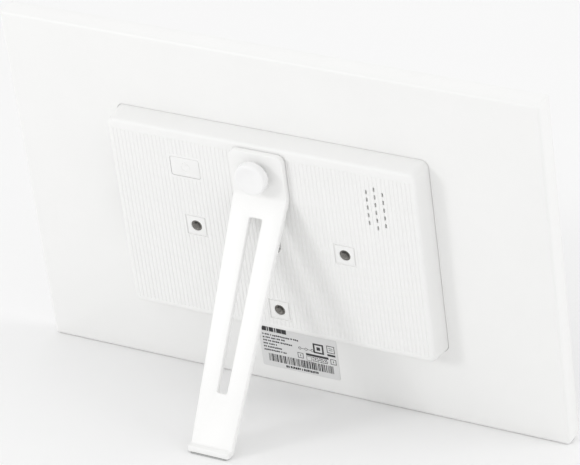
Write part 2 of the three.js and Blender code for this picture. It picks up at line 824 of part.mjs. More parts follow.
// A two-core lead from the speaker's edge to the board, flat on the inside of the box.
function speakerLead() {
  const y = partBack + leadRadius + 0.5;
  const start = speakerX + speakerWidth / 2 + gap;
  const path = new THREE.CatmullRomCurve3([
    new THREE.Vector3(start, y + 1.6, speakerZ - 8),
    new THREE.Vector3(start + 3, y + 1.4, speakerZ - 9),
    new THREE.Vector3(start + 7, y + 0.4, speakerZ - 13),
    new THREE.Vector3(start + 12, y, speakerZ - 15),
    new THREE.Vector3(start + 16, y, speakerZ - 15),
  ]);
  const section = new THREE.Shape();
  section.absarc(0, 0, leadRadius, 0, 2 * Math.PI, false);
  return solid(new THREE.ExtrudeGeometry(section, {
    steps: 12, curveSegments: 4, extrudePath: path, bevelEnabled: false,
  }));
}

function displayConnector() {
  const [x0, x1] = flatCableX;
  const bottom = boardBottom + connectorHeight + connectorMargin;
  return block(x0 - connectorMargin, x1 + connectorMargin, partBack, partBack + connectorDepth,
    bottom, bottom + connectorHeight);
}

// The flat cable leaves its connector, folds round the board's lower edge and lies behind the screen.
function displayCable() {
  const chassisBack = chassisFront + chassisThickness;
  const inFront = chassisBack + gap + flatCableThickness / 2;
  const behind = partBack + 2 * flatCableThickness;
  const start = boardBottom + connectorHeight + connectorMargin - 2 * gap;
  const fold = boardBottom - connectorHeight;
  const line = roundedCentreline([
    new THREE.Vector2(behind, start),
    new THREE.Vector2(behind, fold),
    new THREE.Vector2(inFront, fold),
    new THREE.Vector2(inFront, start + 3 * connectorHeight),
  ], [flatCableBend, flatCableBend]);
  const [x0, x1] = flatCableX;
  return sideways(stripOutline(line, flatCableThickness), x0, x1);
}

// ---------------------------------------------------------------- screws
// A pan-head screw with its head's face at depth 0, pointing to the back.
function panScrew() {
  const recessFloor = screwHeadHeight / 2;
  const recess = centredBlock(0, 0, recessLength, recessWidth, -1, recessFloor);
  const crossRecess = centredBlock(0, 0, recessWidth, recessLength, -1, recessFloor);
  const tip = screwHeadHeight + screwLength;
  const body = turned([
    [0, 0], [screwHead - recessFloor, 0], [screwHead, recessFloor], [screwHead, screwHeadHeight],
    [screwShank, screwHeadHeight], [screwShank, tip - screwShank / 2], [0, tip],
  ], 0, 0, 12);
  return cut(body, [recess, crossRecess]);
}

// ---------------------------------------------------------------- stand
const headInner = boxDepth + gap;
const headMiddle = headInner + legThickness / 2;

// The height of the table under the leaning panel, as a drop from the middle of its back face.
function tableDrop() {
  const height = panelHeight / 2 - shoulderRadius;
  return height * Math.cos(leanAngle) - shoulderRadius * Math.sin(leanAngle) + shoulderRadius;
}

// The leg runs down at its angle until its foot lies on the table.
function legCentreline() {
  const top = new THREE.Vector2(headMiddle, insertAxisZ + legHeadAbove);
  const knee = new THREE.Vector2(headMiddle, insertAxisZ - legHeadBelow);
  const direction = new THREE.Vector2(Math.sin(legAngle), -Math.cos(legAngle));
  const footMiddle = footPadThickness + tightGap + legThickness / 2;
  const heightOf = (point) => point.y * Math.cos(leanAngle) - point.x * Math.sin(leanAngle);
  const fall = heightOf(knee) + tableDrop() - footMiddle;
  const ankle = direction.clone().multiplyScalar(fall / -heightOf(direction)).add(knee);
  const tip = new THREE.Vector2(Math.cos(leanAngle), Math.sin(leanAngle))
    .multiplyScalar(footLength).add(ankle);
  return { top, knee, ankle, tip };
}

function standLeg() {
  const { top, knee, ankle, tip } = legCentreline();
  const line = roundedCentreline([top, knee, ankle, tip], [legBendRadius, footBendRadius]);
  const strip = sideways(stripOutline(line, legThickness), -legHeadWidth, legHeadWidth);
  const low = tip.y - 2 * legThickness;
  const outline = new THREE.Shape();
  const half = legHeadWidth / 2;
  outline.moveTo(legFootWidth / 2, low);
  outline.lineTo(half, knee.y);
  outline.lineTo(half, top.y - legHeadCorner);
  outline.absarc(half - legHeadCorner, top.y - legHeadCorner, legHeadCorner, 0, Math.PI / 2, false);
  outline.absarc(legHeadCorner - half, top.y - legHeadCorner, legHeadCorner, Math.PI / 2, Math.PI, false);
  outline.lineTo(-half, knee.y);
  outline.lineTo(-legFootWidth / 2, low);
  outline.closePath();
  const slotTop = knee.y - legSlotStart * Math.cos(legAngle);
  const slotBottom = knee.y - legSlotEnd * Math.cos(legAngle);
  const slot = new THREE.Shape();
  const corner = legSlotCorner;
  const wide = legSlotTopWidth / 2 - corner;
  const narrow = legSlotBottomWidth / 2 - corner;
  const quarter = Math.PI / 2;
  slot.absarc(wide, slotTop - corner, corner, 0, quarter, false);
  slot.absarc(-wide, slotTop - corner, corner, quarter, 2 * quarter, false);
  slot.absarc(-narrow, slotBottom + corner, corner, 2 * quarter, 3 * quarter, false);
  slot.absarc(narrow, slotBottom + corner, corner, 3 * quarter, 4 * quarter, false);
  slot.closePath();
  const slotRoom = through(slot, headInner + legThickness + 1, ankle.x + 20);
  const screwHole = rod(studRadius + gap, headInner - 1, headInner + legThickness + 1, 0, insertAxisZ);
  return cut(strip.intersect(through(outline, 0, ankle.x + 40)), [slotRoom, screwHole]);
}

// A rubber strip under the foot, and where it lies, flat on the table.
function footPad() {
  return solid(new THREE.BoxGeometry(legFootWidth - legThickness, footLength, footPadThickness));
}

function footPadPlace() {
  const { ankle, tip } = legCentreline();
  const drop = legThickness / 2 + tightGap + footPadThickness / 2;
  const down = new THREE.Vector2(Math.sin(leanAngle), -Math.cos(leanAngle)).multiplyScalar(drop);
  const middle = ankle.clone().lerp(tip, 0.5).add(down);
  return [0, middle.x, middle.y];
}

// ---------------------------------------------------------------- thumbscrew
const collarFront = headInner + legThickness + gap;
const knobFront = collarFront + collarDepth;
const knobBack = knobFront + knobDepth;
const studFront = boxDepth - insertSink - studEngagement;

function thumbscrewStud() {
  return rod(studRadius, studFront, knobBack - studCover, 0, 0);
}

function thumbscrewKnob() {
  const knob = turned([
    [0, collarFront], [collarRadius, collarFront], [collarRadius, knobFront],
    [knobRadius - knobFrontEdge, knobFront], [knobRadius, knobFront + knobFrontEdge],
    [knobRadius, knobBack - knobBackEdge], [knobRadius - knobBackEdge / 3, knobBack - knobBackEdge / 3],
    [knobRadius - knobBackEdge, knobBack], [0, knobBack],
  ], 0, 0, 36);
  const bore = rod(studRadius + tightGap, collarFront - 1, knobBack - studCover + tightGap, 0, 0);
  return knob.subtract(bore);
}

// ---------------------------------------------------------------- label
function labelCentreZ() {
  return -boxHeight / 2 - labelBelowBox - labelHeight / 2;
}

function ratingLabel() {
  const outline = roundedRectangle(labelWidth, labelHeight, 1);
  const front = -labelRecess + tightGap / 3;
  return through(outline, front, front + labelThickness);
}

function wifiAntenna() {
  const [width, height, thickness] = antennaSize;
  const back = faceInside - gap;
  return centredBlock(0, 0, width, height, back - thickness, back);
}

function memoryChip() {
  const [width, height, depth] = memorySize;
  return centredBlock(0, 0, width, height, partBack, partBack + depth);
}

// ---------------------------------------------------------------- the assembly
const frame = new THREE.Group();
const screen = new THREE.Group();
const electronics = new THREE.Group();
const stand = new THREE.Group();
frame.add(screen, electronics, stand);

frame.add(
  piece('rear_cover', rearCover(), 'whitePlastic'),
  piece('front_bezel', frontBezel(), 'whitePlastic'),
  piece('rear_housing', rearHousing(), 'whitePlastic'),
  piece('rating_label', ratingLabel(), 'paperLabel', [0, 0, labelCentreZ()]),
);

const filmMargin = cellMargin - mouldFrameWidth - stackGap;
screen.add(
  piece('touch_panel', sheet(touchMargin, touchFront, touchThickness), 'blackGlass'),
  piece('lcd_cell', sheet(cellMargin, cellFront, cellThickness), 'blackGlass'),
  piece('optical_films', sheet(filmMargin, filmFront, filmThickness), 'whiteFilm'),
  piece('light_guide', lightGuide(), 'clearPlastic'),
  piece('backlight_strip', backlightStrip(), 'whiteFilm'),
  piece('reflector_sheet', sheet(filmMargin, reflectorFront, reflectorThickness), 'whiteFilm'),
  piece('lcd_frame', lcdFrame(), 'chipBlack'),
  piece('lcd_chassis', lcdChassis(), 'sheetSteel'),
);

electronics.add(
  piece('main_board', mainBoard(), 'circuitBoard'),
  piece('processor_shield', processorShield(), 'sheetSteel', shieldPlace),
  piece('memory_chip', memoryChip(), 'chipBlack', memoryPlace),
  piece('display_connector', displayConnector(), 'whiteFilm'),
  piece('display_cable', displayCable(), 'flexFilm'),
  piece('wifi_antenna', wifiAntenna(), 'flexFilm', antennaPlace),
  piece('speaker_lead', speakerLead(), 'blackRubber'),
  piece('dc_jack', dcJack(), 'chipBlack'),
  piece('usb_port', usbPort(), 'nickel'),
  piece('card_slot', cardSlot(), 'nickel'),
  piece('keyhole_cap', keyholeCap(), 'whitePlastic'),
  groupAt(speakerX, 0, speakerZ, [
    piece('speaker', speaker(), 'chipBlack'),
    piece('speaker_gasket', speakerGasket(), 'blackRubber'),
  ]),
  groupAt(buttonX, 0, buttonZ, [
    piece('power_button', powerButton(), 'whitePlastic'),
    piece('power_switch', powerSwitch(), 'chipBlack'),
    piece('switch_plunger', switchPlunger(), 'blackRubber'),
  ]),
);
insertPlaces().forEach(([name, x, z]) => {
  electronics.add(piece(name, threadedInsert(), 'nickel', [x, 0, z]));
});
boardScrewPlaces().forEach(([x, z], i) => {
  const headFront = boardFront - partGap - screwHeadHeight;
  electronics.add(piece(`board_screw_${i + 1}`, panScrew(), 'nickel', [x, headFront, z]));
});
housingScrewPlaces().forEach(([x, z], i) => {
  electronics.add(piece(`housing_screw_${i + 1}`, panScrew(), 'nickel', [x, backInside, z]));
});

const footPadMesh = piece('foot_pad', footPad(), 'greyRubber', footPadPlace());
footPadMesh.rotation.x = leanAngle;
stand.add(
  piece('stand_leg', standLeg(), 'whitePlastic'),
  footPadMesh,
  groupAt(0, 0, insertAxisZ, [
    piece('thumbscrew_stud', thumbscrewStud(), 'nickel'),
    piece('thumbscrew_knob', thumbscrewKnob(), 'whitePlastic'),
  ]),
);

// The panel leans back, and the whole stands on z = 0 with its footprint's middle at the origin.
frame.rotation.x = -leanAngle;
const model = new THREE.Group();
model.add(frame);
model.updateMatrixWorld(true);
const extent = new THREE.Box3().setFromObject(model, true);
frame.position.set(0, -(extent.min.y + extent.max.y) / 2, -extent.min.z);

export default model;
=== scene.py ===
import math
import random

import bmesh
import bpy
from mathutils import Matrix, Vector


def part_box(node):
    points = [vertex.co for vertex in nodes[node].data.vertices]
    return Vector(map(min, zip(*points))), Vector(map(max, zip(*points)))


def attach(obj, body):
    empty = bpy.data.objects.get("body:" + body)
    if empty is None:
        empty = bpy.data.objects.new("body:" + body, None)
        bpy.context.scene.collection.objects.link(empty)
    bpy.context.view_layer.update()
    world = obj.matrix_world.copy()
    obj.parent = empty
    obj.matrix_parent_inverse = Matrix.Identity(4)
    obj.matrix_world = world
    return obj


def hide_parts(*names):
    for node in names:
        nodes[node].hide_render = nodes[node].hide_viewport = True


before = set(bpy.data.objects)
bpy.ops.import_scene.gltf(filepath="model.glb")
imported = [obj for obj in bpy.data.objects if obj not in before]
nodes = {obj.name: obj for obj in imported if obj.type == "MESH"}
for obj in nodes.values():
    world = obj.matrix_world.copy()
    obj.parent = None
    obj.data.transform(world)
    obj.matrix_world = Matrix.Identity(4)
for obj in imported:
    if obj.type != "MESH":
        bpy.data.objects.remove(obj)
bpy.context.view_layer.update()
print("packed frame loaded")

# Pieces are modelled in millimetres on an upright panel and then leaned back into place.
# On that panel x runs sideways, y is depth (0 on the panel's back face, + to the back), z runs up.


def middleOf(node):
    low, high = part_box(node)
    return (low + high) / 2


panelUp = (middleOf("insert_top") - middleOf("insert_bottom")).normalized()
leanAngle = math.atan2(panelUp.y, panelUp.z)
upright = Matrix.Rotation(leanAngle, 4, "X")
coverPoints = [upright @ vertex.co for vertex in nodes["rear_cover"].data.vertices]
backFace = max(point.y for point in coverPoints)
coverMiddle = (max(point.z for point in coverPoints) + min(point.z for point in coverPoints)) / 2
toWorld = upright.inverted() @ Matrix.Translation((0, backFace, coverMiddle)) @ Matrix.Scale(0.001, 4)
toPanel = toWorld.inverted()


def panelBox(node):
    points = [toPanel @ vertex.co for vertex in nodes[node].data.vertices]
    low = Vector([min(point[axis] for point in points) for axis in range(3)])
    high = Vector([max(point[axis] for point in points) for axis in range(3)])
    return low, high


# ---- working with pieces
touching = 0.01

def pick(piece):
    if bpy.context.mode != "OBJECT":
        bpy.ops.object.mode_set(mode="OBJECT")
    bpy.ops.object.select_all(action="DESELECT")
    piece.select_set(True)
    bpy.context.view_layer.objects.active = piece


def named(piece, name):
    piece.name = name
    piece.data.name = name
    return piece


def addBlock(name, low, high):
    if bpy.context.mode != "OBJECT":
        bpy.ops.object.mode_set(mode="OBJECT")
    bpy.ops.object.select_all(action="DESELECT")
    low, high = Vector(low), Vector(high)
    bpy.ops.mesh.primitive_cube_add(size=1, location=(low + high) / 2, scale=high - low)
    bpy.ops.object.transform_apply(location=True, rotation=True, scale=True)
    return named(bpy.context.object, name)


# A round body about an axis along the depth: one disc, extruded and scaled ring by ring.
def addTurned(name, x, z, rings, sides=64, closed=True):
    if bpy.context.mode != "OBJECT":
        bpy.ops.object.mode_set(mode="OBJECT")
    bpy.ops.object.select_all(action="DESELECT")
    radius, depth = rings[0]
    bpy.ops.mesh.primitive_circle_add(vertices=sides, radius=radius, location=(x, depth, z),
                                      rotation=(math.pi / 2, 0, 0),
                                      fill_type="NGON" if closed else "NOTHING")
    bpy.ops.object.transform_apply(location=True, rotation=True, scale=True)
    piece = named(bpy.context.object, name)
    bpy.ops.object.mode_set(mode="EDIT")
    bpy.ops.mesh.select_mode(type="EDGE")
    bpy.ops.mesh.select_all(action="SELECT")
    for nextRadius, nextDepth in rings[1:]:
        bpy.ops.mesh.extrude_region_move(TRANSFORM_OT_translate={"value": (0, nextDepth - depth, 0)})
        share = nextRadius / radius
        bpy.ops.transform.resize(value=(share, 1, share), center_override=(x, nextDepth, z))
        radius, depth = nextRadius, nextDepth
    if closed:
        bpy.ops.mesh.edge_face_add()
    bpy.ops.object.mode_set(mode="OBJECT")
    return facingOutwards(piece) if closed else piece


def facingOutwards(piece):
    pick(piece)
    bpy.ops.object.mode_set(mode="EDIT")
    bpy.ops.mesh.select_all(action="SELECT")
    bpy.ops.mesh.remove_doubles(threshold=0.0005)
    bpy.ops.mesh.normals_make_consistent(inside=False)
    bpy.ops.object.mode_set(mode="OBJECT")
    return piece


# In edit mode, selects the parts of one kind that pass a test, and says how many there are.
def selectParts(piece, kind, wanted):
    bpy.ops.mesh.select_mode(type=kind)
    bpy.ops.mesh.select_all(action="DESELECT")
    mesh = bmesh.from_edit_mesh(piece.data)
    found = [part for part in {"VERT": mesh.verts, "EDGE": mesh.edges, "FACE": mesh.faces}[kind]
             if wanted(part)]
    for part in found:
        part.select_set(True)
    bmesh.update_edit_mesh(piece.data)
    return len(found)


# Bevels the sharp edges whose two ends pass a test.
def roundEdges(piece, wanted, radius, steps, sharpest=math.radians(25)):
    def sharp(edge):
        return (len(edge.link_faces) == 2 and edge.calc_face_angle(0) > sharpest
                and wanted(edge.verts[0].co, edge.verts[1].co))

    pick(piece)
    bpy.ops.object.mode_set(mode="EDIT")
    if selectParts(piece, "EDGE", sharp):
        bpy.ops.mesh.bevel(offset=radius, offset_type="OFFSET", segments=steps, profile=0.5,
                           affect="EDGES", clamp_overlap=False)
    bpy.ops.object.mode_set(mode="OBJECT")


def scaleFaces(piece, wanted, scale, centre=(0, 0, 0)):
    pick(piece)
    bpy.ops.object.mode_set(mode="EDIT")
    selectParts(piece, "FACE", lambda face: wanted(face.normal))
    bpy.ops.transform.resize(value=scale, center_override=centre)
    bpy.ops.object.mode_set(mode="OBJECT")


def merged(pieces, name):
    pick(pieces[0])
    for piece in pieces:
        piece.select_set(True)
    bpy.ops.object.join()
    return named(bpy.context.object, name)


def copyTo(piece, shift, stretch=(1, 1, 1)):
    twin = piece.copy()
    twin.data = piece.data.copy()
    bpy.context.scene.collection.objects.link(twin)
    twin.data.transform(Matrix.Translation(shift) @ Matrix.Diagonal((*stretch, 1)))
    return twin


def combine(piece, tool, operation="DIFFERENCE"):
    pick(piece)
    modifier = piece.modifiers.new("fit", "BOOLEAN")
    modifier.object = tool
    modifier.operation = operation
    modifier.solver = "EXACT"
    bpy.ops.object.modifier_apply(modifier=modifier.name)
    bpy.data.objects.remove(tool)
    return piece


def alongDepth(a, b):
    return abs(a.x - b.x) < touching and abs(a.z - b.z) < touching


def atDepth(level):
    return lambda a, b: abs(a.y - level) < touching and abs(b.y - level) < touching


smoothBelow = math.radians(32)


# Leans a finished piece into its place, in metres, and hands it to its body.
def settle(piece, body, finish, replaced=(), place=toWorld):
    facingOutwards(piece)
    piece.data.transform(place)
    piece.data.update()
    bpy.ops.object.shade_smooth_by_angle(angle=smoothBelow)
    piece.data.materials.append(finishes[finish])
    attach(piece, body)
    if replaced:
        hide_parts(*replaced)
    return piece


# ---- finishes

def colourOf(hexValue):
    channels = [int(hexValue[i:i + 2], 16) / 255 for i in (1, 3, 5)]
    linear = [c / 12.92 if c <= 0.04045 else ((c + 0.055) / 1.055) ** 2.4 for c in channels]
    return (*linear, 1)


def addNode(tree, kind, inputs={}, **settings):
    made = tree.nodes.new(kind)
    for key, value in settings.items():
        setattr(made, key, value)
    for key, value in inputs.items():
        if isinstance(value, tuple) and isinstance(value[0], bpy.types.Node):
            tree.links.new(value[0].outputs[value[1]], made.inputs[key])
        else:
            made.inputs[key].default_value = value
    return made


def startMaterial(name, **sockets):
    material = bpy.data.materials.new(name)
    material.use_nodes = True
    tree = material.node_tree
    shader = tree.nodes["Principled BSDF"]
    for key, value in sockets.items():
        shader.inputs[key.replace("_", " ")].default_value = value
    place = addNode(tree, "ShaderNodeTexCoord")
    return material, tree, shader, place


def perMillimetre(size):
    return 1000 / size


# Two colours mixed by a broad noise, for the small unevenness of a moulded or coated face.
def mottle(tree, place, first, second, size):
    noise = addNode(tree, "ShaderNodeTexNoise", {"Vector": (place, "Object"), "Detail": 3, "Roughness": 0.55,
                                                 "Scale": perMillimetre(size)})
    return addNode(tree, "ShaderNodeMix", {"Factor": (noise, "Fac"), 6: colourOf(first),
                                           7: colourOf(second)}, data_type="RGBA")


# The middle of a noise's range, stretched to run from low to high.
def spread(tree, source, low, high):
    return addNode(tree, "ShaderNodeMapRange", {"Value": source, "From Min": 0.3, "From Max": 0.7,
                                                "To Min": low, "To Max": high})


def wire(tree, made, output, shader, socket):
    tree.links.new(made.outputs[output], shader.inputs[socket])


# White ABS, injection moulded in a spark-eroded tool: a matt, very slightly pebbled skin whose
# gloss wanders a little. The real grain is near 0.1 mm; it is drawn coarser so that it shows.
def mouldedAbs(name, warm, cool, gloss, grain, depth):
    material, tree, shader, place = startMaterial(name, IOR=1.53, Specular_IOR_Level=0.5)
    tone = mottle(tree, place, warm, cool, 38)
    pebbles = addNode(tree, "ShaderNodeTexNoise", {"Vector": (place, "Object"), "Detail": 2.0,
                                                   "Scale": perMillimetre(grain), "Roughness": 0.6})
    sink = addNode(tree, "ShaderNodeTexNoise", {"Vector": (place, "Object"), "Scale": perMillimetre(45),
                                                "Detail": 1.0})
    sheen = spread(tree, (sink, "Fac"), gloss - 0.04, gloss + 0.05)
    fine = addNode(tree, "ShaderNodeBump", {"Height": (pebbles, "Fac"), "Strength": 0.35,
                                            "Distance": depth})
    wire(tree, tone, 2, shader, "Base Color")
    wire(tree, sheen, "Result", shader, "Roughness")
    wire(tree, fine, "Normal", shader, "Normal")
    return material


finishes = {
    "shellAbs": mouldedAbs("shell_abs_satin", "#f4f4f3", "#f0f0ef", 0.42, 0.55, 0.000012),
    "housingAbs": mouldedAbs("housing_abs_textured", "#f4f4f3", "#efefee", 0.55, 0.45, 0.00002),
    "legAbs": mouldedAbs("leg_abs_satin", "#f5f5f4", "#f1f1f0", 0.4, 0.5, 0.00001),
    "knobAbs": mouldedAbs("knob_abs_fine", "#f5f5f5", "#f1f1f1", 0.36, 0.6, 0.000008),
}


# Soda-lime touch glass printed black on its inner side: deep black, sharp reflections, and a
# faintly different tone where the display's active area starts.
def touchGlass():
    low, high = panelBox("lcd_cell")
    reachX = (high.x - low.x) / 2 - screenDetails["inactiveEdge"]
    reachZ = (high.z - low.z) / 2 - screenDetails["inactiveEdge"]
    material, tree, shader, place = startMaterial("touch_glass_black", IOR=1.52, Coat_Weight=1.0,
                                                  Coat_Roughness=0.02, Coat_IOR=1.52)
    centre = toWorld @ Vector((0, low.y, 0))
    level = addNode(tree, "ShaderNodeMapping", {"Vector": (place, "Object"), "Location": centre,
                                                "Rotation": (-leanAngle, 0, 0)}, vector_type="TEXTURE")
    parts = addNode(tree, "ShaderNodeSeparateXYZ", {"Vector": (level, "Vector")})
    insideX = addNode(tree, "ShaderNodeMath", {0: (parts, "X"), 1: 0.0, 2: reachX / 1000},
                      operation="COMPARE")
    insideZ = addNode(tree, "ShaderNodeMath", {0: (parts, "Z"), 1: 0.0, 2: reachZ / 1000},
                      operation="COMPARE")
    active = addNode(tree, "ShaderNodeMath", {0: (insideX, "Value"), 1: (insideZ, "Value")},
                     operation="MULTIPLY")
    tone = addNode(tree, "ShaderNodeMix", {"Factor": (active, "Value"), 6: colourOf("#07080a"),
                                           7: colourOf("#15181c")}, data_type="RGBA")
    smears = addNode(tree, "ShaderNodeTexNoise", {"Vector": (place, "Object"), "Scale": perMillimetre(30),
                                                  "Detail": 5.0, "Distortion": 0.8})
    haze = spread(tree, (smears, "Fac"), 0.05, 0.12)
    wire(tree, tone, 2, shader, "Base Color")
    wire(tree, haze, "Result", shader, "Roughness")
    return material


# Silver-grey polyester label stock: satin, with the faint flecks of its aluminium layer.
def labelFilm():
    material, tree, shader, place = startMaterial("label_polyester_grey", IOR=1.5)
    flecks = addNode(tree, "ShaderNodeTexNoise", {"Vector": (place, "Object"), "Scale": perMillimetre(0.5),
                                                  "Detail": 2.0})
    tone = addNode(tree, "ShaderNodeMix", {"Factor": (flecks, "Fac"), 6: colourOf("#e3e3e3"),
                                           7: colourOf("#dbdbdb")}, data_type="RGBA")
    sheen = spread(tree, (flecks, "Fac"), 0.38, 0.52)
    wire(tree, tone, 2, shader, "Base Color")
    wire(tree, sheen, "Result", shader, "Roughness")
    return material


# Thermal-transfer resin print: near black, a little glossier where the ribbon laid on thick.
def labelInk():
    material, tree, shader, place = startMaterial("label_print_resin", IOR=1.5)
    tone = mottle(tree, place, "#1c1c1e", "#333335", 0.8)
    wire(tree, tone, 2, shader, "Base Color")
    shader.inputs["Roughness"].default_value = 0.45
    return material


# Plated metal, turned or pressed: a grey or golden shine broken up by fine marks left by the tool.
def platedMetal(name, bright, dull, markSize, roughLow, roughHigh):
    material, tree, shader, place = startMaterial(name, Metallic=1.0)
    tone = mottle(tree, place, bright, dull, 1.2)
    marks = addNode(tree, "ShaderNodeTexNoise", {"Vector": (place, "Object"), "Detail": 4.0,
                                                 "Scale": perMillimetre(markSize)})
    sheen = spread(tree, (marks, "Fac"), roughLow, roughHigh)
    scratch = addNode(tree, "ShaderNodeBump", {"Height": (marks, "Fac"), "Strength": 0.2,
                                               "Distance": 0.00001})
    wire(tree, tone, 2, shader, "Base Color")
    wire(tree, sheen, "Result", shader, "Roughness")
    wire(tree, scratch, "Normal", shader, "Normal")
    return material


# A dull plastic or rubber in two close tones, with a grain of its own size.
def dullSkin(name, first, second, rough, grain, depth, ior=1.5):
    material, tree, shader, place = startMaterial(name, IOR=ior)
    tone = mottle(tree, place, first, second, 3)
    bumps = addNode(tree, "ShaderNodeTexNoise", {"Vector": (place, "Object"), "Scale": perMillimetre(grain),
                                                 "Detail": 3.0})
    sheen = spread(tree, (bumps, "Fac"), rough - 0.05, rough + 0.08)
    skin = addNode(tree, "ShaderNodeBump", {"Height": (bumps, "Fac"), "Strength": 0.4, "Distance": depth})
    wire(tree, tone, 2, shader, "Base Color")
    wire(tree, sheen, "Result", shader, "Roughness")
    wire(tree, skin, "Normal", shader, "Normal")
    return material


# Solder mask over copper on glass-epoxy: green, with the lighter lines of the copper under it.
def solderMask():
    material, tree, shader, place = startMaterial("solder_mask_green", IOR=1.5)
    tracks = addNode(tree, "ShaderNodeTexBrick", {"Vector": (place, "Object"), "Mortar Size": 0.012,
                                                  "Scale": perMillimetre(9), "Color1": colourOf("#17502c"),
                                                  "Color2": colourOf("#1b5a33"),
                                                  "Mortar": colourOf("#2b7a49")})
    wire(tree, tracks, "Color", shader, "Base Color")
    shader.inputs["Roughness"].default_value = 0.35
    return material


screenDetails = {"glassCorner": 2.0, "edge": 0.25, "inactiveEdge": 6.2}
finishes["touchGlass"] = touchGlass()
finishes["labelFilm"] = labelFilm()
finishes["labelInk"] = labelInk()
finishes["solderMask"] = solderMask()
finishes["insertNickel"] = platedMetal("insert_nickel_plated", "#8d8b87", "#6f6d6a", 0.25, 0.22, 0.42)
finishes["screwZinc"] = platedMetal("screw_zinc_plated", "#b9bab6", "#a2a39f", 0.3, 0.28, 0.45)
finishes["tinnedSteel"] = platedMetal("tinned_steel_pressed", "#c3c5c6", "#adb0b2", 0.8, 0.2, 0.38)
finishes["contactGold"] = platedMetal("contact_gold_flash", "#d8b566", "#c8a356", 0.4, 0.18, 0.3)
finishes["blackNylon"] = dullSkin("connector_nylon_black", "#17181a", "#212224", 0.5, 0.3, 0.00001)
finishes["footRubber"] = dullSkin("foot_rubber_grey", "#b9bab9", "#a9aaa9", 0.75, 0.4, 0.00003)
finishes["blackFoam"] = dullSkin("gasket_foam_black", "#1a1a1b", "#262627", 0.85, 0.5, 0.00006)
finishes["whiteFilm"] = dullSkin("reflector_film_white", "#f2f2f0", "#e9e9e6", 0.5, 0.6, 0.000004)
finishes["clearAcrylic"] = dullSkin("light_guide_acrylic", "#dfe8ea", "#d3dee1", 0.12, 1.0, 0.000004, 1.49)
finishes["polyimide"] = dullSkin("flex_polyimide_amber", "#b9742a", "#a8651f", 0.35, 0.7, 0.000006)
print("finishes ready")


# ---- rear cover: the white tray that carries the screen
coverDetails = {"corner": 1.6, "shoulder": 1.5, "wall": 2.2, "back": 2.0, "innerCorner": 0.6, "seam": 0.16,
                "pocket": 0.6, "openingInset": 9.5, "labelSeat": 0.15, "labelRoom": 0.12, "labelCorner": 1.1,
                "rimEdge": 0.25}


def buildCover():
    low, high = panelBox("rear_cover")
    tray = addBlock("rear_tray", low, high)
    roundEdges(tray, alongDepth, coverDetails["corner"], 6)
    roundEdges(tray, atDepth(high.y), coverDetails["shoulder"], 6)
    wall = coverDetails["wall"]
    hollow = addBlock("hollow", (low.x + wall, low.y - 1, low.z + wall),
                      (high.x - wall, -coverDetails["back"], high.z - wall))
    roundEdges(hollow, alongDepth, coverDetails["innerCorner"], 3)
    combine(tray, hollow)
    boxLow, boxHigh = panelBox("rear_housing")
    seam = coverDetails["seam"]
    pocket = addBlock("pocket", (boxLow.x - seam, -coverDetails["pocket"], boxLow.z - seam),
                      (boxHigh.x + seam, 1, boxHigh.z + seam))
    roundEdges(pocket, alongDepth, housingDetails["corner"], 8)
    combine(tray, pocket)
    inset = coverDetails["openingInset"]
    opening = addBlock("opening", (boxLow.x + inset, low.y, boxLow.z + inset),
                       (boxHigh.x - inset, 1, boxHigh.z - inset))
    combine(tray, opening)
    labelLow, labelHigh = panelBox("rating_label")
    room = coverDetails["labelRoom"]
    seat = addBlock("seat", (labelLow.x - room, -coverDetails["labelSeat"], labelLow.z - room),
                    (labelHigh.x + room, 1, labelHigh.z + room))
    roundEdges(seat, alongDepth, coverDetails["labelCorner"], 4)
    combine(tray, seat)
    roundEdges(tray, atDepth(low.y), coverDetails["rimEdge"], 2)
    settle(tray, "case", "shellAbs", ["rear_cover"])


# ---- electronics box with its ribbed face
housingDetails = {"corner": 3.5, "draft": 1.0, "fillet": 1.6, "wall": 2.0, "grooveStep": 2.0,
                  "grooveWidth": 0.7, "grooveFloor": 0.34, "grooveDepth": 0.24, "shortestGroove": 0.5,
                  "topMargin": 5.6, "bottomMargin": 4.1, "sideMargin": 3.2, "padSize": 9.2, "moat": 0.7,
                  "moatDepth": 0.5, "ribEdge": 0.1, "insertRoom": 0.02, "insertDepth": 8, "cutDepth": 4,
                  "keyholeRadius": 5.3, "keyholeDrop": 1.8, "neckWidth": 4.6, "neckTop": 8.5,
                  "buttonGap": 0.2, "slotWidth": 0.9, "slotLength": 2.2, "slotStep": 4.0, "slotCorner": 0.25,
                  "slotColumns": ((-1, 5), (0, 6), (1, 5))}


# The stretches of a groove at x that are left between the pads and the button.
def grooveStretches(x, bottom, top, blocks):
    stretches = [(bottom, top)]
    for low, high in blocks:
        if low.x < x < high.x:
            cutUp = []
            for start, end in stretches:
                cutUp += [(start, min(end, low.z)), (max(start, high.z), end)]
            stretches = [(start, end) for start, end in cutUp
                         if end - start > housingDetails["shortestGroove"]]
    return stretches


def buildGrooveCutters(low, high, blocks):
    face, half = high.y, housingDetails["grooveWidth"] / 2
    depth = housingDetails["grooveDepth"]
    groove = addBlock("groove", (-half, face - depth, 0), (half, face + depth, 1))
    floorShare = housingDetails["grooveFloor"] / housingDetails["grooveWidth"]
    scaleFaces(groove, lambda normal: normal.y < -0.9, scale=(floorShare, 1, 1), centre=(0, 0, 0))
    topShare = 2 - floorShare
    scaleFaces(groove, lambda normal: normal.y > 0.9, scale=(topShare, 1, 1), centre=(0, 0, 0))
    bottom = low.z + housingDetails["bottomMargin"]
    top = high.z - housingDetails["topMargin"]
    count = int((high.x - housingDetails["sideMargin"]) / housingDetails["grooveStep"])
    cutters = []
    for i in range(-count, count + 1):
        x = i * housingDetails["grooveStep"]
        for start, end in grooveStretches(x, bottom, top, blocks):
            cutters.append(copyTo(groove, (x, 0, start), (1, 1, end - start)))
    bpy.data.objects.remove(groove)
    return merged(cutters, "grooves")


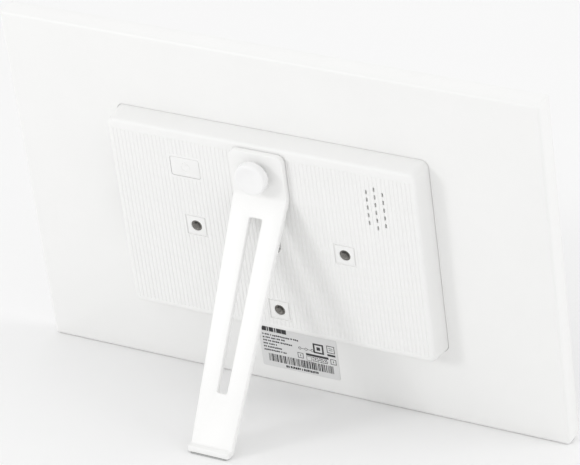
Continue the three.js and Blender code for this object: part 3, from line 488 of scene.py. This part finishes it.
def padBlock(node, size):
    low, high = panelBox(node)
    x, z = (low.x + high.x) / 2, (low.z + high.z) / 2
    return Vector((x - size, 0, z - size)), Vector((x + size, 0, z + size))


# A square ring cutter round a pad.
def buildMoat(node, face):
    half = housingDetails["padSize"] / 2
    depth = housingDetails["moatDepth"]
    outerLow, outerHigh = padBlock(node, half + housingDetails["moat"])
    innerLow, innerHigh = padBlock(node, half)
    outer = addBlock("moat", (outerLow.x, face - depth, outerLow.z),
                     (outerHigh.x, face + 1, outerHigh.z))
    inner = addBlock("core", (innerLow.x, face - 2 * depth, innerLow.z),
                     (innerHigh.x, face + 2, innerHigh.z))
    return combine(outer, inner)


def buildHousing():
    low, high = panelBox("rear_housing")
    face = high.y
    wall, corner = housingDetails["wall"], housingDetails["corner"]
    draft = housingDetails["draft"]
    shrink = (1 - draft / high.x, 1, 1 - draft / high.z)
    shell = addBlock("ribbed_housing", low, high)
    roundEdges(shell, alongDepth, corner, 8)
    scaleFaces(shell, lambda normal: normal.y > 0.9, scale=shrink)
    roundEdges(shell, atDepth(face), housingDetails["fillet"], 6)
    hollow = addBlock("hollow", (low.x + wall, low.y - 1, low.z + wall),
                      (high.x - wall, face - wall, high.z - wall))
    roundEdges(hollow, alongDepth, corner - wall / 2, 5)
    scaleFaces(hollow, lambda normal: normal.y > 0.9, scale=shrink)
    combine(shell, hollow)

    buttonLow, buttonHigh = panelBox("power_button")
    around = Vector((housingDetails["buttonGap"], 0, housingDetails["buttonGap"]))
    padNodes = ["insert_left", "insert_right", "insert_top", "insert_bottom"]
    reach = housingDetails["padSize"] / 2 + housingDetails["moat"] + housingDetails["grooveWidth"] / 2
    blocks = [padBlock(node, reach) for node in padNodes] + [(buttonLow - around, buttonHigh + around)]
    combine(shell, buildGrooveCutters(low, high, blocks))
    for node in padNodes:
        combine(shell, buildMoat(node, face))
    roundEdges(shell, atDepth(face), housingDetails["ribEdge"], 2)

    for node in padNodes:
        at = middlePanel(node)
        insertLow, insertHigh = panelBox(node)
        radius = (insertHigh.x - insertLow.x) / 2 + housingDetails["insertRoom"]
        combine(shell, addTurned("seat", at.x, at.z, [(radius, face - housingDetails["insertDepth"]),
                                                      (radius, face + 1)], 48))
    combine(shell, buildKeyholeCutter(face))
    gapRound, cutFloor = housingDetails["buttonGap"], face - housingDetails["cutDepth"]
    faceLow, faceHigh = buttonFace()
    buttonHole = addBlock("hole", (faceLow.x - gapRound, cutFloor, faceLow.z - gapRound),
                          (faceHigh.x + gapRound, face + 1, faceHigh.z + gapRound))
    roundEdges(buttonHole, alongDepth, buttonDetails["corner"] + gapRound, 5)
    combine(shell, buttonHole)
    combine(shell, buildSpeakerSlots(face))
    for cutter in buildPortCutters(high.x):
        combine(shell, cutter)
    settle(shell, "case", "housingAbs", ["rear_housing"])


def middlePanel(node):
    low, high = panelBox(node)
    return (low + high) / 2


def buildKeyholeCutter(face):
    drop, neck = housingDetails["keyholeDrop"], housingDetails["neckWidth"] / 2
    straight = housingDetails["neckTop"] - neck
    radius = housingDetails["keyholeRadius"]
    depths = (face - housingDetails["cutDepth"], face + 1)
    cutter = addTurned("keyhole", 0, -drop, [(radius, depths[0]), (radius, depths[1])], 64)
    slot = addBlock("neck", (-neck, depths[0], -drop), (neck, depths[1], straight))
    combine(cutter, slot, "UNION")
    end = addTurned("end", 0, straight, [(neck, depths[0]), (neck, depths[1])], 48)
    return combine(cutter, end, "UNION")


def buildSpeakerSlots(face):
    low, high = panelBox("speaker")
    middleX, middleZ = (low.x + high.x) / 2, (low.z + high.z) / 2
    halfWidth, halfLength = housingDetails["slotWidth"] / 2, housingDetails["slotLength"] / 2
    slot = addBlock("slot", (-halfWidth, face - housingDetails["cutDepth"], -halfLength),
                    (halfWidth, face + 1, halfLength))
    roundEdges(slot, alongDepth, housingDetails["slotCorner"], 3)
    slots = []
    for column, rows in housingDetails["slotColumns"]:
        for row in range(rows):
            shift = (middleX + column * housingDetails["slotStep"], 0,
                     middleZ + (row - (rows - 1) / 2) * housingDetails["slotStep"])
            slots.append(copyTo(slot, shift))
    bpy.data.objects.remove(slot)
    return merged(slots, "slots")


# ---- power button
buttonDetails = {"corner": 1.0, "edge": 0.25, "flange": 1.2, "markRadius": 2.1, "markWidth": 0.5,
                 "markRise": 0.15, "markGap": 70, "markRoot": 0.3, "barLift": 0.7, "barHeight": 2.3,
                 "thickness": 2.6}


def buttonFace():
    low, high = panelBox("power_button")
    rim = buttonDetails["flange"]
    return Vector((low.x + rim, low.y, low.z + rim)), Vector((high.x - rim, high.y, high.z - rim))


def buildButton():
    low, high = buttonFace()
    face = panelBox("rear_housing")[1].y
    cap = addBlock("button_cap", (low.x, face - buttonDetails["thickness"], low.z), (high.x, face, high.z))
    roundEdges(cap, alongDepth, buttonDetails["corner"], 5)
    roundEdges(cap, atDepth(face), buttonDetails["edge"], 3)
    x, z = (low.x + high.x) / 2, (low.z + high.z) / 2
    outer = buttonDetails["markRadius"] + buttonDetails["markWidth"] / 2
    inner = buttonDetails["markRadius"] - buttonDetails["markWidth"] / 2
    depths = (face - buttonDetails["markRoot"], face + buttonDetails["markRise"])
    ring = addTurned("ring", x, z, [(outer, depths[0]), (outer, depths[1])], 64)
    combine(ring, addTurned("core", x, z, [(inner, depths[0] - 1), (inner, depths[1] + 1)], 64))
    notch = math.tan(math.radians(buttonDetails["markGap"] / 2)) * outer
    gapBlock = addBlock("gap", (x - notch, depths[0] - 1, z), (x + notch, depths[1] + 1, z + 1.5 * outer))
    scaleFaces(gapBlock, lambda normal: normal.z < -0.9, scale=(0.02, 1, 1), centre=(x, 0, z))
    combine(ring, gapBlock)
    half, foot = buttonDetails["markWidth"] / 2, z + buttonDetails["barLift"]
    bar = addBlock("bar", (x - half, depths[0], foot),
                   (x + half, depths[1], foot + buttonDetails["barHeight"]))
    combine(cap, ring, "UNION")
    combine(cap, bar, "UNION")
    settle(cap, "button", "housingAbs", ["power_button"])


# ---- threaded inserts
insertDetails = {"boreRadius": 1.65, "threadDepth": 0.32, "pitch": 0.7, "chamfer": 0.35, "edge": 0.12,
                 "plainEnd": 0.2}


def buildInsert(node):
    low, high = panelBox(node)
    x, z = (low.x + high.x) / 2, (low.z + high.z) / 2
    outer, bore = (high.x - low.x) / 2, insertDetails["boreRadius"]
    root = bore + insertDetails["threadDepth"]
    chamfer, edge = insertDetails["chamfer"], insertDetails["edge"]
    rings = [(outer, low.y), (outer, high.y - edge), (outer - edge, high.y), (bore + chamfer, high.y),
             (bore, high.y - chamfer)]
    depth = high.y - chamfer
    while depth - insertDetails["pitch"] > low.y + insertDetails["plainEnd"]:
        rings.append((root, depth - insertDetails["pitch"] / 2))
        rings.append((bore, depth - insertDetails["pitch"]))
        depth -= insertDetails["pitch"]
    rings.append((bore, low.y))
    ring = addTurned("ring_" + node, x, z, rings, 48, closed=False)
    bpy.ops.object.mode_set(mode="EDIT")
    selectParts(ring, "EDGE", lambda edge: edge.is_boundary)
    bpy.ops.mesh.bridge_edge_loops()
    bpy.ops.object.mode_set(mode="OBJECT")
    settle(ring, "case", "insertNickel", [node])


# ---- stand leg
legDetails = {"thickness": 2.8, "legAngle": 36.8, "footWidth": 20.6, "headCorner": 3.5, "edge": 0.5,
              "kneeRadius": 5.0, "ankleRadius": 2.2, "padGap": 0.15, "slotTop": 6.4, "slotBottom": 5.0,
              "slotStart": 10.5, "slotEnd": 88.6, "slotCorner": 0.9, "holeRadius": 2.0, "toeCorner": 1.2,
              "cutReach": 4}


# The leg's middle line, seen from the side: its head, knee, ankle and toe as points on the panel.
def legPoints():
    low, high = panelBox("stand_leg")
    padLow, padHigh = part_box("foot_pad")
    lift = (legDetails["padGap"] + legDetails["thickness"] / 2) / 1000
    ankle = toPanel @ Vector((0, padLow.y, padHigh.z + lift))
    toe = toPanel @ Vector((0, padHigh.y, padHigh.z + lift))
    depth = low.y + legDetails["thickness"] / 2
    knee = Vector((0, depth, ankle.z + (ankle.y - depth) / math.tan(math.radians(legDetails["legAngle"]))))
    return Vector((0, depth, high.z)), knee, ankle, toe


def carryOn(shift):
    bpy.ops.mesh.extrude_region_move(TRANSFORM_OT_translate={"value": shift})


# Turns the strip's open end about a point on the back side of the leg.
def bendOn(at, direction, turn, radius, steps):
    centre = at + Vector((0, -direction.z, direction.y)) * radius
    bpy.ops.mesh.spin(steps=steps, angle=-turn, center=centre, axis=(1, 0, 0))


def buildLeg():
    head, knee, ankle, toe = legPoints()
    low, high = panelBox("stand_leg")
    width = high.x - low.x
    legTurn = math.radians(legDetails["legAngle"])
    footTurn = math.pi / 2 + leanAngle - legTurn
    kneeReach = legDetails["kneeRadius"] * math.tan(legTurn / 2)
    ankleReach = legDetails["ankleRadius"] * math.tan(footTurn / 2)
    down = Vector((0, 0, -1))
    along = (ankle - knee).normalized()

    # a strip of one face is the head, and its lower edge is carried on to the toe
    straight = head.z - knee.z - kneeReach
    bpy.ops.object.select_all(action="DESELECT")
    middle = Vector((0, head.y, head.z - straight / 2))
    bpy.ops.mesh.primitive_plane_add(size=1, location=middle, rotation=(math.pi / 2, 0, 0))
    bpy.ops.object.transform_apply(location=True, rotation=True)
    leg = named(bpy.context.object, "stand_leg_shell")
    bpy.ops.object.mode_set(mode="EDIT")
    bpy.ops.transform.resize(value=(width, 1, straight), center_override=middle)
    lowest = head.z - straight + touching
    selectParts(leg, "EDGE", lambda edge: all(vertex.co.z < lowest for vertex in edge.verts))
    bendOn(head + down * straight, down, legTurn, legDetails["kneeRadius"], 12)
    carryOn(along * ((ankle - knee).length - kneeReach - ankleReach))
    share = legDetails["footWidth"] / width
    bpy.ops.transform.resize(value=(share, 1, 1), center_override=(0, 0, 0))
    bendOn(ankle - along * ankleReach, along, footTurn, legDetails["ankleRadius"], 12)
    carryOn((toe - ankle).normalized() * ((toe - ankle).length - ankleReach))
    # round the head's two top corners and the toe's two
    reach = max(vertex.co.y for vertex in bmesh.from_edit_mesh(leg.data).verts)
    for wanted, corner in ((lambda vertex: vertex.co.z > head.z - touching, legDetails["headCorner"]),
                           (lambda vertex: vertex.co.y > reach - touching, legDetails["toeCorner"])):
        selectParts(leg, "VERT", wanted)
        bpy.ops.mesh.bevel(offset=corner, segments=7, affect="VERTICES")
    bpy.ops.object.mode_set(mode="OBJECT")
    facingOutwards(leg)
    plate = leg.modifiers.new("plate", "SOLIDIFY")
    plate.thickness = legDetails["thickness"]
    plate.offset = 0
    plate.use_even_offset = True
    bpy.ops.object.modifier_apply(modifier=plate.name)
    combine(leg, buildSlotCutter(knee))
    roundEdges(leg, lambda a, b: True, legDetails["edge"], 4, math.radians(50))
    at = middlePanel("insert_top")
    radius, reach = legDetails["holeRadius"], legDetails["cutReach"]
    combine(leg, addTurned("hole", at.x, at.z, [(radius, head.y - reach), (radius, head.y + reach)], 48))
    settle(leg, "stand", "legAbs", ["stand_leg"])


def buildSlotCutter(knee):
    start, end = legDetails["slotStart"], legDetails["slotEnd"]
    half, reach = legDetails["slotTop"] / 2, legDetails["cutReach"]
    cutter = addBlock("slot", (-half, knee.y - reach, knee.z - end), (half, knee.y + reach, knee.z - start))
    narrow = legDetails["slotBottom"] / legDetails["slotTop"]
    scaleFaces(cutter, lambda normal: normal.z < -0.9, scale=(narrow, 1, 1))
    roundEdges(cutter, lambda a, b: abs(a.z - b.z) < touching and abs(a.x - b.x) < touching,
               legDetails["slotCorner"], 5)
    pick(cutter)
    bpy.ops.object.mode_set(mode="EDIT")
    bpy.ops.mesh.select_all(action="SELECT")
    bpy.ops.transform.rotate(value=-math.radians(legDetails["legAngle"]), orient_axis="X",
                             center_override=knee)
    bpy.ops.object.mode_set(mode="OBJECT")
    return cutter


# ---- rubber foot under the toe
footDetails = {"corner": 1.0, "edge": 0.15, "grooves": 3, "grooveWidth": 0.5, "grooveDepth": 0.3}


def buildFoot():
    low, high = (corner * 1000 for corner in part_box("foot_pad"))
    pad = addBlock("foot_rubber", low, high)
    roundEdges(pad, lambda a, b: abs(a.x - b.x) < touching and abs(a.y - b.y) < touching,
               footDetails["corner"], 4)
    step = (high.y - low.y) / (footDetails["grooves"] + 1)
    half = footDetails["grooveWidth"] / 2
    for i in range(footDetails["grooves"]):
        y = low.y + (i + 1) * step
        combine(pad, addBlock("groove", (low.x - 1, y - half, low.z - 1),
                              (high.x + 1, y + half, low.z + footDetails["grooveDepth"])))
    roundEdges(pad, lambda a, b: min(a.z, b.z) > high.z - touching, footDetails["edge"], 2)
    settle(pad, "stand", "footRubber", ["foot_pad"], place=Matrix.Scale(0.001, 4))


# ---- thumbscrew
knobDetails = {"collarRadius": 4.8, "collarDepth": 2.6, "collarReach": 0.2, "backEdge": 0.9,
               "frontEdge": 0.6, "dish": 0.12, "dishRim": 1.9, "dishSlope": 0.4, "boreRadius": 1.75,
               "boreDepth": 5.2}
studDetails = {"pitch": 0.7, "threadDepth": 0.3, "tip": 0.5, "plainEnd": 0.5}


def buildKnob():
    low, high = panelBox("thumbscrew_knob")
    x, z = (low.x + high.x) / 2, (low.z + high.z) / 2
    radius, collar = (high.x - low.x) / 2, knobDetails["collarRadius"]
    front, back = low.y - knobDetails["collarReach"], high.y
    under = low.y + knobDetails["collarDepth"]
    rim = radius - knobDetails["dishRim"]
    dish = back - knobDetails["dish"]
    rings = [(collar, front), (collar, under), (radius, under), (radius, back), (rim, back),
             (rim - knobDetails["dishSlope"], dish), (knobDetails["dishSlope"], dish)]
    knob = addTurned("thumb_knob", x, z, rings, 96)
    roundEdges(knob, lambda a, b: onRing(a, b, x, z, radius, back), knobDetails["backEdge"], 6)
    roundEdges(knob, lambda a, b: onRing(a, b, x, z, radius, under), knobDetails["frontEdge"], 4)
    bore = addTurned("bore", x, z, [(knobDetails["boreRadius"], front - 1),
                                    (knobDetails["boreRadius"], front + knobDetails["boreDepth"])], 48)
    combine(knob, bore)
    settle(knob, "knob", "knobAbs", ["thumbscrew_knob"])


def onRing(a, b, x, z, radius, depth):
    far = [math.hypot(end.x - x, end.z - z) for end in (a, b)]
    onRadius = all(abs(distance - radius) < 2 * touching for distance in far)
    return onRadius and abs(a.y - depth) + abs(b.y - depth) < 2 * touching


def buildStud():
    low, high = panelBox("thumbscrew_stud")
    x, z = (low.x + high.x) / 2, (low.z + high.z) / 2
    crest = (high.x - low.x) / 2
    root, pitch = crest - studDetails["threadDepth"], studDetails["pitch"]
    rings = [(root - studDetails["tip"] / 2, low.y), (root, low.y + studDetails["tip"])]
    depth = low.y + studDetails["tip"]
    while depth + pitch < high.y - studDetails["plainEnd"]:
        rings += [(crest, depth + pitch / 2), (root, depth + pitch)]
        depth += pitch
    rings.append((root, high.y))
    stud = addTurned("thumb_stud", x, z, rings, 40)
    settle(stud, "thumbscrew", "screwZinc", ["thumbscrew_stud"])


# ---- front: bezel and touch glass
bezelDetails = {"thickness": 1.8, "windowMargin": 0.8, "windowBevel": 1.4, "frameWidth": 8, "edge": 0.3}


def buildBezel():
    low, high = panelBox("front_bezel")
    back = low.y + bezelDetails["thickness"]
    plate = addBlock("front_bezel_ring", low, (high.x, back, high.z))
    glassLow, glassHigh = panelBox("lcd_cell")
    inset = screenDetails["inactiveEdge"] - bezelDetails["windowMargin"]
    window = addBlock("window", (glassLow.x + inset, low.y - 1, glassLow.z + inset),
                      (glassHigh.x - inset, back + 1, glassHigh.z - inset))
    combine(plate, window)
    inside = (high.x - low.x) / 2 - bezelDetails["frameWidth"]
    front = atDepth(low.y)
    roundEdges(plate, lambda a, b: front(a, b) and max(abs(a.x), abs(b.x)) < inside,
               bezelDetails["windowBevel"], 5)
    roundEdges(plate, lambda a, b: front(a, b) and max(abs(a.x), abs(b.x)) > inside,
               bezelDetails["edge"], 2)
    settle(plate, "case", "shellAbs", ["front_bezel"])


def buildGlass():
    low, high = panelBox("touch_panel")
    glass = addBlock("touch_glass", low, high)
    roundEdges(glass, alongDepth, screenDetails["glassCorner"], 6)
    roundEdges(glass, lambda a, b: abs(a.y - b.y) < touching, screenDetails["edge"], 2)
    settle(glass, "case", "touchGlass", ["touch_panel"])


# ---- sockets on the side wall
portDetails = {"room": 0.15, "lip": 0.35, "usbDepth": 11.5, "cardDepth": 21.0, "jackRadius": 2.8,
               "jackBore": 2.5, "jackDepth": 9.5, "pinRadius": 0.95, "pinLength": 8.6, "tongue": (10.0, 1.4),
               "contactWidth": 1.1, "contactCount": 4, "contactStep": 2.3}


def buildPortCutters(side):
    room = portDetails["room"]
    cutters = []
    for node in ("usb_port", "card_slot"):
        low, high = panelBox(node)
        cutters.append(addBlock(node + "_cut", (high.x - 0.5, low.y - room, low.z - room),
                                (side + 2, high.y + room, high.z + room)))
        roundEdges(cutters[-1], lambda a, b: abs(a.x - b.x) > 1, 0.4, 4)
    low, high = panelBox("dc_jack")
    length = side + 2 - high.x
    middle = Vector((high.x + length / 2, (low.y + high.y) / 2, (low.z + high.z) / 2))
    cutters.append(addPeg("jack_cut", middle, portDetails["jackRadius"] + room, length))
    return cutters


# A peg that lies along the panel's width.
def addPeg(name, centre, radius, length, sides=48):
    bpy.ops.object.select_all(action="DESELECT")
    bpy.ops.mesh.primitive_cylinder_add(vertices=sides, radius=radius, depth=length, location=centre,
                                        rotation=(0, math.pi / 2, 0))
    bpy.ops.object.transform_apply(location=True, rotation=True, scale=True)
    return named(bpy.context.object, name)


# A pressed shell whose mouth, on the side wall, is an inset face pushed inwards.
def buildSocketShell(node, name, depth):
    low, high = panelBox(node)
    shell = addBlock(name, low, high)
    roundEdges(shell, lambda a, b: abs(a.x - b.x) > 1, 0.5, 4)
    pick(shell)
    bpy.ops.object.mode_set(mode="EDIT")
    selectParts(shell, "FACE", lambda face: face.normal.x > 0.9)
    bpy.ops.mesh.inset(thickness=portDetails["lip"])
    carryOn((-depth, 0, 0))
    bpy.ops.object.mode_set(mode="OBJECT")
    settle(shell, "case", "tinnedSteel", [node])
    return low, high


def buildPorts():
    low, high = buildSocketShell("usb_port", "usb_shell", portDetails["usbDepth"])
    width, thickness = portDetails["tongue"]
    middleZ, back = (low.z + high.z) / 2, high.y - 3 * portDetails["lip"]
    inside = high.x - portDetails["usbDepth"]
    tongue = addBlock("usb_tongue", (inside + 0.1, back - thickness, middleZ - width / 2),
                      (high.x - 2, back, middleZ + width / 2))
    roundEdges(tongue, lambda a, b: max(a.x, b.x) > high.x - 2.01, 0.3, 3)
    settle(tongue, "case", "blackNylon")
    half = portDetails["contactWidth"] / 2
    contact = addBlock("usb_contacts", (inside + 1, back - thickness - 0.06, -half),
                       (high.x - 3, back - thickness - 0.01, half))
    roundEdges(contact, lambda a, b: abs(a.y - b.y) > touching, 0.2, 3)
    count = portDetails["contactCount"]
    row = [copyTo(contact, (0, 0, middleZ + (i - (count - 1) / 2) * portDetails["contactStep"]))
           for i in range(count)]
    bpy.data.objects.remove(contact)
    contacts = merged(row, "usb_contacts")
    settle(contacts, "case", "contactGold")

    buildSocketShell("card_slot", "card_slot_shell", portDetails["cardDepth"])

    low, high = panelBox("dc_jack")
    body = addBlock("jack_body", low, high)
    middle = Vector((high.x, (low.y + high.y) / 2, (low.z + high.z) / 2))
    combine(body, addPeg("bore", middle - Vector((portDetails["jackDepth"] / 2 - 1, 0, 0)),
                         portDetails["jackBore"], portDetails["jackDepth"] + 2))
    roundEdges(body, lambda a, b: a.x > high.x - touching and b.x > high.x - touching, 0.25, 2)
    settle(body, "case", "blackNylon", ["dc_jack"])
    pinMiddle = middle - Vector((portDetails["jackDepth"] - portDetails["pinLength"] / 2 + 0.1, 0, 0))
    pin = addPeg("jack_pin", pinMiddle, portDetails["pinRadius"], portDetails["pinLength"], 32)
    roundEdges(pin, lambda a, b: a.x > pinMiddle.x and b.x > pinMiddle.x, 0.5, 4)
    settle(pin, "case", "tinnedSteel")


# ---- rating label with generic marks: no words, only bars, rings and strokes
labelDetails = {"corner": 1.0, "rise": 0.012, "margin": 1.6, "seed": 7, "headingTop": 3.7,
                "headingHeight": 2.7, "headingWidths": (2.4, 0.7, 2.3, 0.7, 2.6, 2.4), "lineTop": 7.9,
                "lineStep": 1.72, "lineHeight": 0.8, "lineLengths": (19.0, 11.5, 15.0, 7.5, 10.0, 11.5),
                "barcodeLeft": 3.6, "barcodeTop": 18.8, "barcodeHeight": 4.2, "barcodeWidth": 33.4}
# rings as across, down, radius and line width; bars as across, down, width and height; tiles as
# across, down, size and line width
labelRings = ((20.6, 12.2, 0.75, 0.25), (23.8, 12.2, 0.75, 0.25), (27.0, 12.2, 0.75, 0.25))
labelBars = ((21.45, 12.1, 1.5, 0.25), (24.65, 12.1, 1.5, 0.25), (29.4, 9.7, 1.8, 1.8),
             (35.7, 8.9, 2.0, 0.3), (35.7, 9.9, 2.0, 0.3), (34.7, 12.3, 4.1, 1.1), (20.3, 15.8, 0.4, 1.0),
             (37.2, 15.8, 0.4, 1.0), (23.4, 14.3, 11.6, 1.2))
labelTiles = ((27.6, 7.9, 5.4, 0.85), (34.7, 7.6, 4.0, 0.35), (19.0, 14.8, 3.0, 0.32),
              (35.9, 14.8, 3.0, 0.32), (23.5, 15.8, 2.6, 0.2))


def buildLabel():
    low, high = panelBox("rating_label")
    film = addBlock("label_film", low, high)
    roundEdges(film, alongDepth, labelDetails["corner"], 6)
    settle(film, "case", "labelFilm", ["rating_label"])

    draw = random.Random(labelDetails["seed"])
    face = high.y
    marks = []

    # a bar whose top left corner is across and down from the label's, as someone reads it
    def bar(across, down, width, height):
        marks.append(addBlock("mark", (high.x - across - width, face, high.z - down - height),
                              (high.x - across, face + labelDetails["rise"], high.z - down)))

    def line(across, down, length, height):
        end = across + length
        while across < end - 0.6:
            width = min(draw.uniform(0.5, 0.95), end - across)
            bar(across, down + draw.choice((0, 0, 0.12)), width, height)
            across += width + draw.choice((0.18, 0.18, 0.18, 0.55))

    # heading, as a row of heavy blocks in pairs, and six lines of fine strokes
    margin = labelDetails["margin"]
    for i, width in enumerate(labelDetails["headingWidths"]):
        bar(margin + 2.7 * i - 1.6 * (i // 2), labelDetails["headingTop"], width,
            labelDetails["headingHeight"])
    for i, length in enumerate(labelDetails["lineLengths"]):
        line(margin, labelDetails["lineTop"] + i * labelDetails["lineStep"], length,
             labelDetails["lineHeight"])

    def ring(across, down, radius, width):
        x, z = high.x - across, high.z - down
        outer = addTurned("ring", x, z, [(radius, face), (radius, face + labelDetails["rise"])], 24)
        inner = addTurned("core", x, z, [(radius - width, face - 1), (radius - width, face + 1)], 24)
        marks.append(combine(outer, inner))

    def tile(across, down, size, width):
        bar(across, down, size, width)
        bar(across, down + size - width, size, width)
        bar(across, down + width, width, size - 2 * width)
        bar(across + size - width, down + width, width, size - 2 * width)

    # three linked rings, square tiles with plain bars in and under them, and three short lines
    for shape in labelRings:
        ring(*shape)
    for shape in labelBars:
        bar(*shape)
    for shape in labelTiles:
        tile(*shape)
    for i in range(3):
        line(26.6, 15.8 + 0.9 * i, 8.2, 0.45)

    # bar pattern of random widths, with a row of short strokes under it
    across = labelDetails["barcodeLeft"]
    end = across + labelDetails["barcodeWidth"]
    while across < end:
        width = draw.choice((0.24, 0.24, 0.48, 0.72))
        bar(across, labelDetails["barcodeTop"], width, labelDetails["barcodeHeight"])
        across += width + draw.choice((0.24, 0.24, 0.48))
    line(12.0, 23.7, 17.5, 1.2)

    prints = merged(marks, "label_print")
    settle(prints, "case", "labelInk")


buildCover()
print("rear cover done")
buildHousing()
print("ribbed housing done")
buildButton()
for node in ("insert_left", "insert_right", "insert_top", "insert_bottom"):
    buildInsert(node)
print("button and inserts done")
buildLeg()
buildFoot()
buildKnob()
buildStud()
print("stand done")
buildBezel()
buildGlass()
buildPorts()
buildLabel()
print("front, sockets and label done")


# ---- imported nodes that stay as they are, each with its own finish
nodeFinishes = {
    "shellAbs": ["keyhole_cap"],
    "touchGlass": ["lcd_cell"],
    "whiteFilm": ["optical_films", "backlight_strip", "reflector_sheet", "display_connector"],
    "clearAcrylic": ["light_guide"],
    "blackNylon": ["lcd_frame", "memory_chip", "speaker", "power_switch"],
    "tinnedSteel": ["lcd_chassis", "processor_shield"],
    "solderMask": ["main_board"],
    "polyimide": ["display_cable", "wifi_antenna"],
    "blackFoam": ["speaker_gasket", "speaker_lead", "switch_plunger"],
    "screwZinc": [f"board_screw_{i}" for i in range(1, 5)] + [f"housing_screw_{i}" for i in range(1, 5)],
}
for finish, members in nodeFinishes.items():
    for node in members:
        nodes[node].data.materials.clear()
        nodes[node].data.materials.append(finishes[finish])
print("packed nodes finished")


# ---- floor, light and camera
studio = {"floorSize": 12.0, "lens": 238.2, "distance": 1.7028, "azimuth": 208.94, "elevation": 21.25,
          "aim": (-3.7, 0.0, -2.2), "world": 0.89}
# metres from the aim: towards the camera, to the camera's left, and up
lights = {
    "key": {"towards": 1.0, "left": 1.7, "up": 0.28, "size": 0.45, "power": 6.4},
    "fill": {"towards": 0.6, "left": -1.6, "up": 0.9, "size": 1.6, "power": 6.4},
    "front": {"towards": -1.6, "left": 0, "up": 1.6, "size": 1.6, "power": 2},
}


# A painted studio table: near white, very slightly uneven, no shine.
def paintedTable():
    material, tree, shader, place = startMaterial("studio_table_paint", IOR=1.45)
    tone = mottle(tree, place, "#f6f6f6", "#f3f3f3", 300)
    wire(tree, tone, 2, shader, "Base Color")
    shader.inputs["Roughness"].default_value = 0.9
    return material


def addLight(name, place, aim, size, power):
    bpy.ops.object.select_all(action="DESELECT")
    bpy.ops.object.light_add(type="AREA", location=place)
    light = bpy.context.object
    light.name = name
    light.data.shape = "DISK"
    light.data.size = size
    light.data.energy = power
    light.rotation_euler = (Vector(aim) - Vector(place)).to_track_quat("-Z", "Y").to_euler()


bpy.ops.object.select_all(action="DESELECT")
bpy.ops.mesh.primitive_plane_add(size=studio["floorSize"], location=(0, 0, 0))
floor = named(bpy.context.object, "table")
floor.data.materials.append(paintedTable())

aim = toWorld @ Vector(studio["aim"])
azimuth, elevation = math.radians(studio["azimuth"]), math.radians(studio["elevation"])
towards = Vector((math.sin(azimuth) * math.cos(elevation), -math.cos(azimuth) * math.cos(elevation),
                  math.sin(elevation)))
left = Vector((math.cos(azimuth), math.sin(azimuth), 0)) * -1
for name, light in lights.items():
    place = aim + towards * light["towards"] + left * light["left"] + Vector((0, 0, light["up"]))
    addLight(name, place, aim, light["size"], light["power"])

world = bpy.data.worlds.new("studio")
bpy.context.scene.world = world
world.use_nodes = True
world.node_tree.nodes["Background"].inputs["Color"].default_value = (1, 1, 1, 1)
world.node_tree.nodes["Background"].inputs["Strength"].default_value = studio["world"]
bpy.context.scene.view_settings.view_transform = "Standard"

bpy.ops.object.select_all(action="DESELECT")
bpy.ops.object.camera_add(location=aim + towards * studio["distance"])
camera = bpy.context.object
camera.rotation_euler = (-towards).to_track_quat("-Z", "Y").to_euler()
camera.data.lens = studio["lens"]
camera.data.clip_end = 100
bpy.context.scene.camera = camera
print("studio ready")
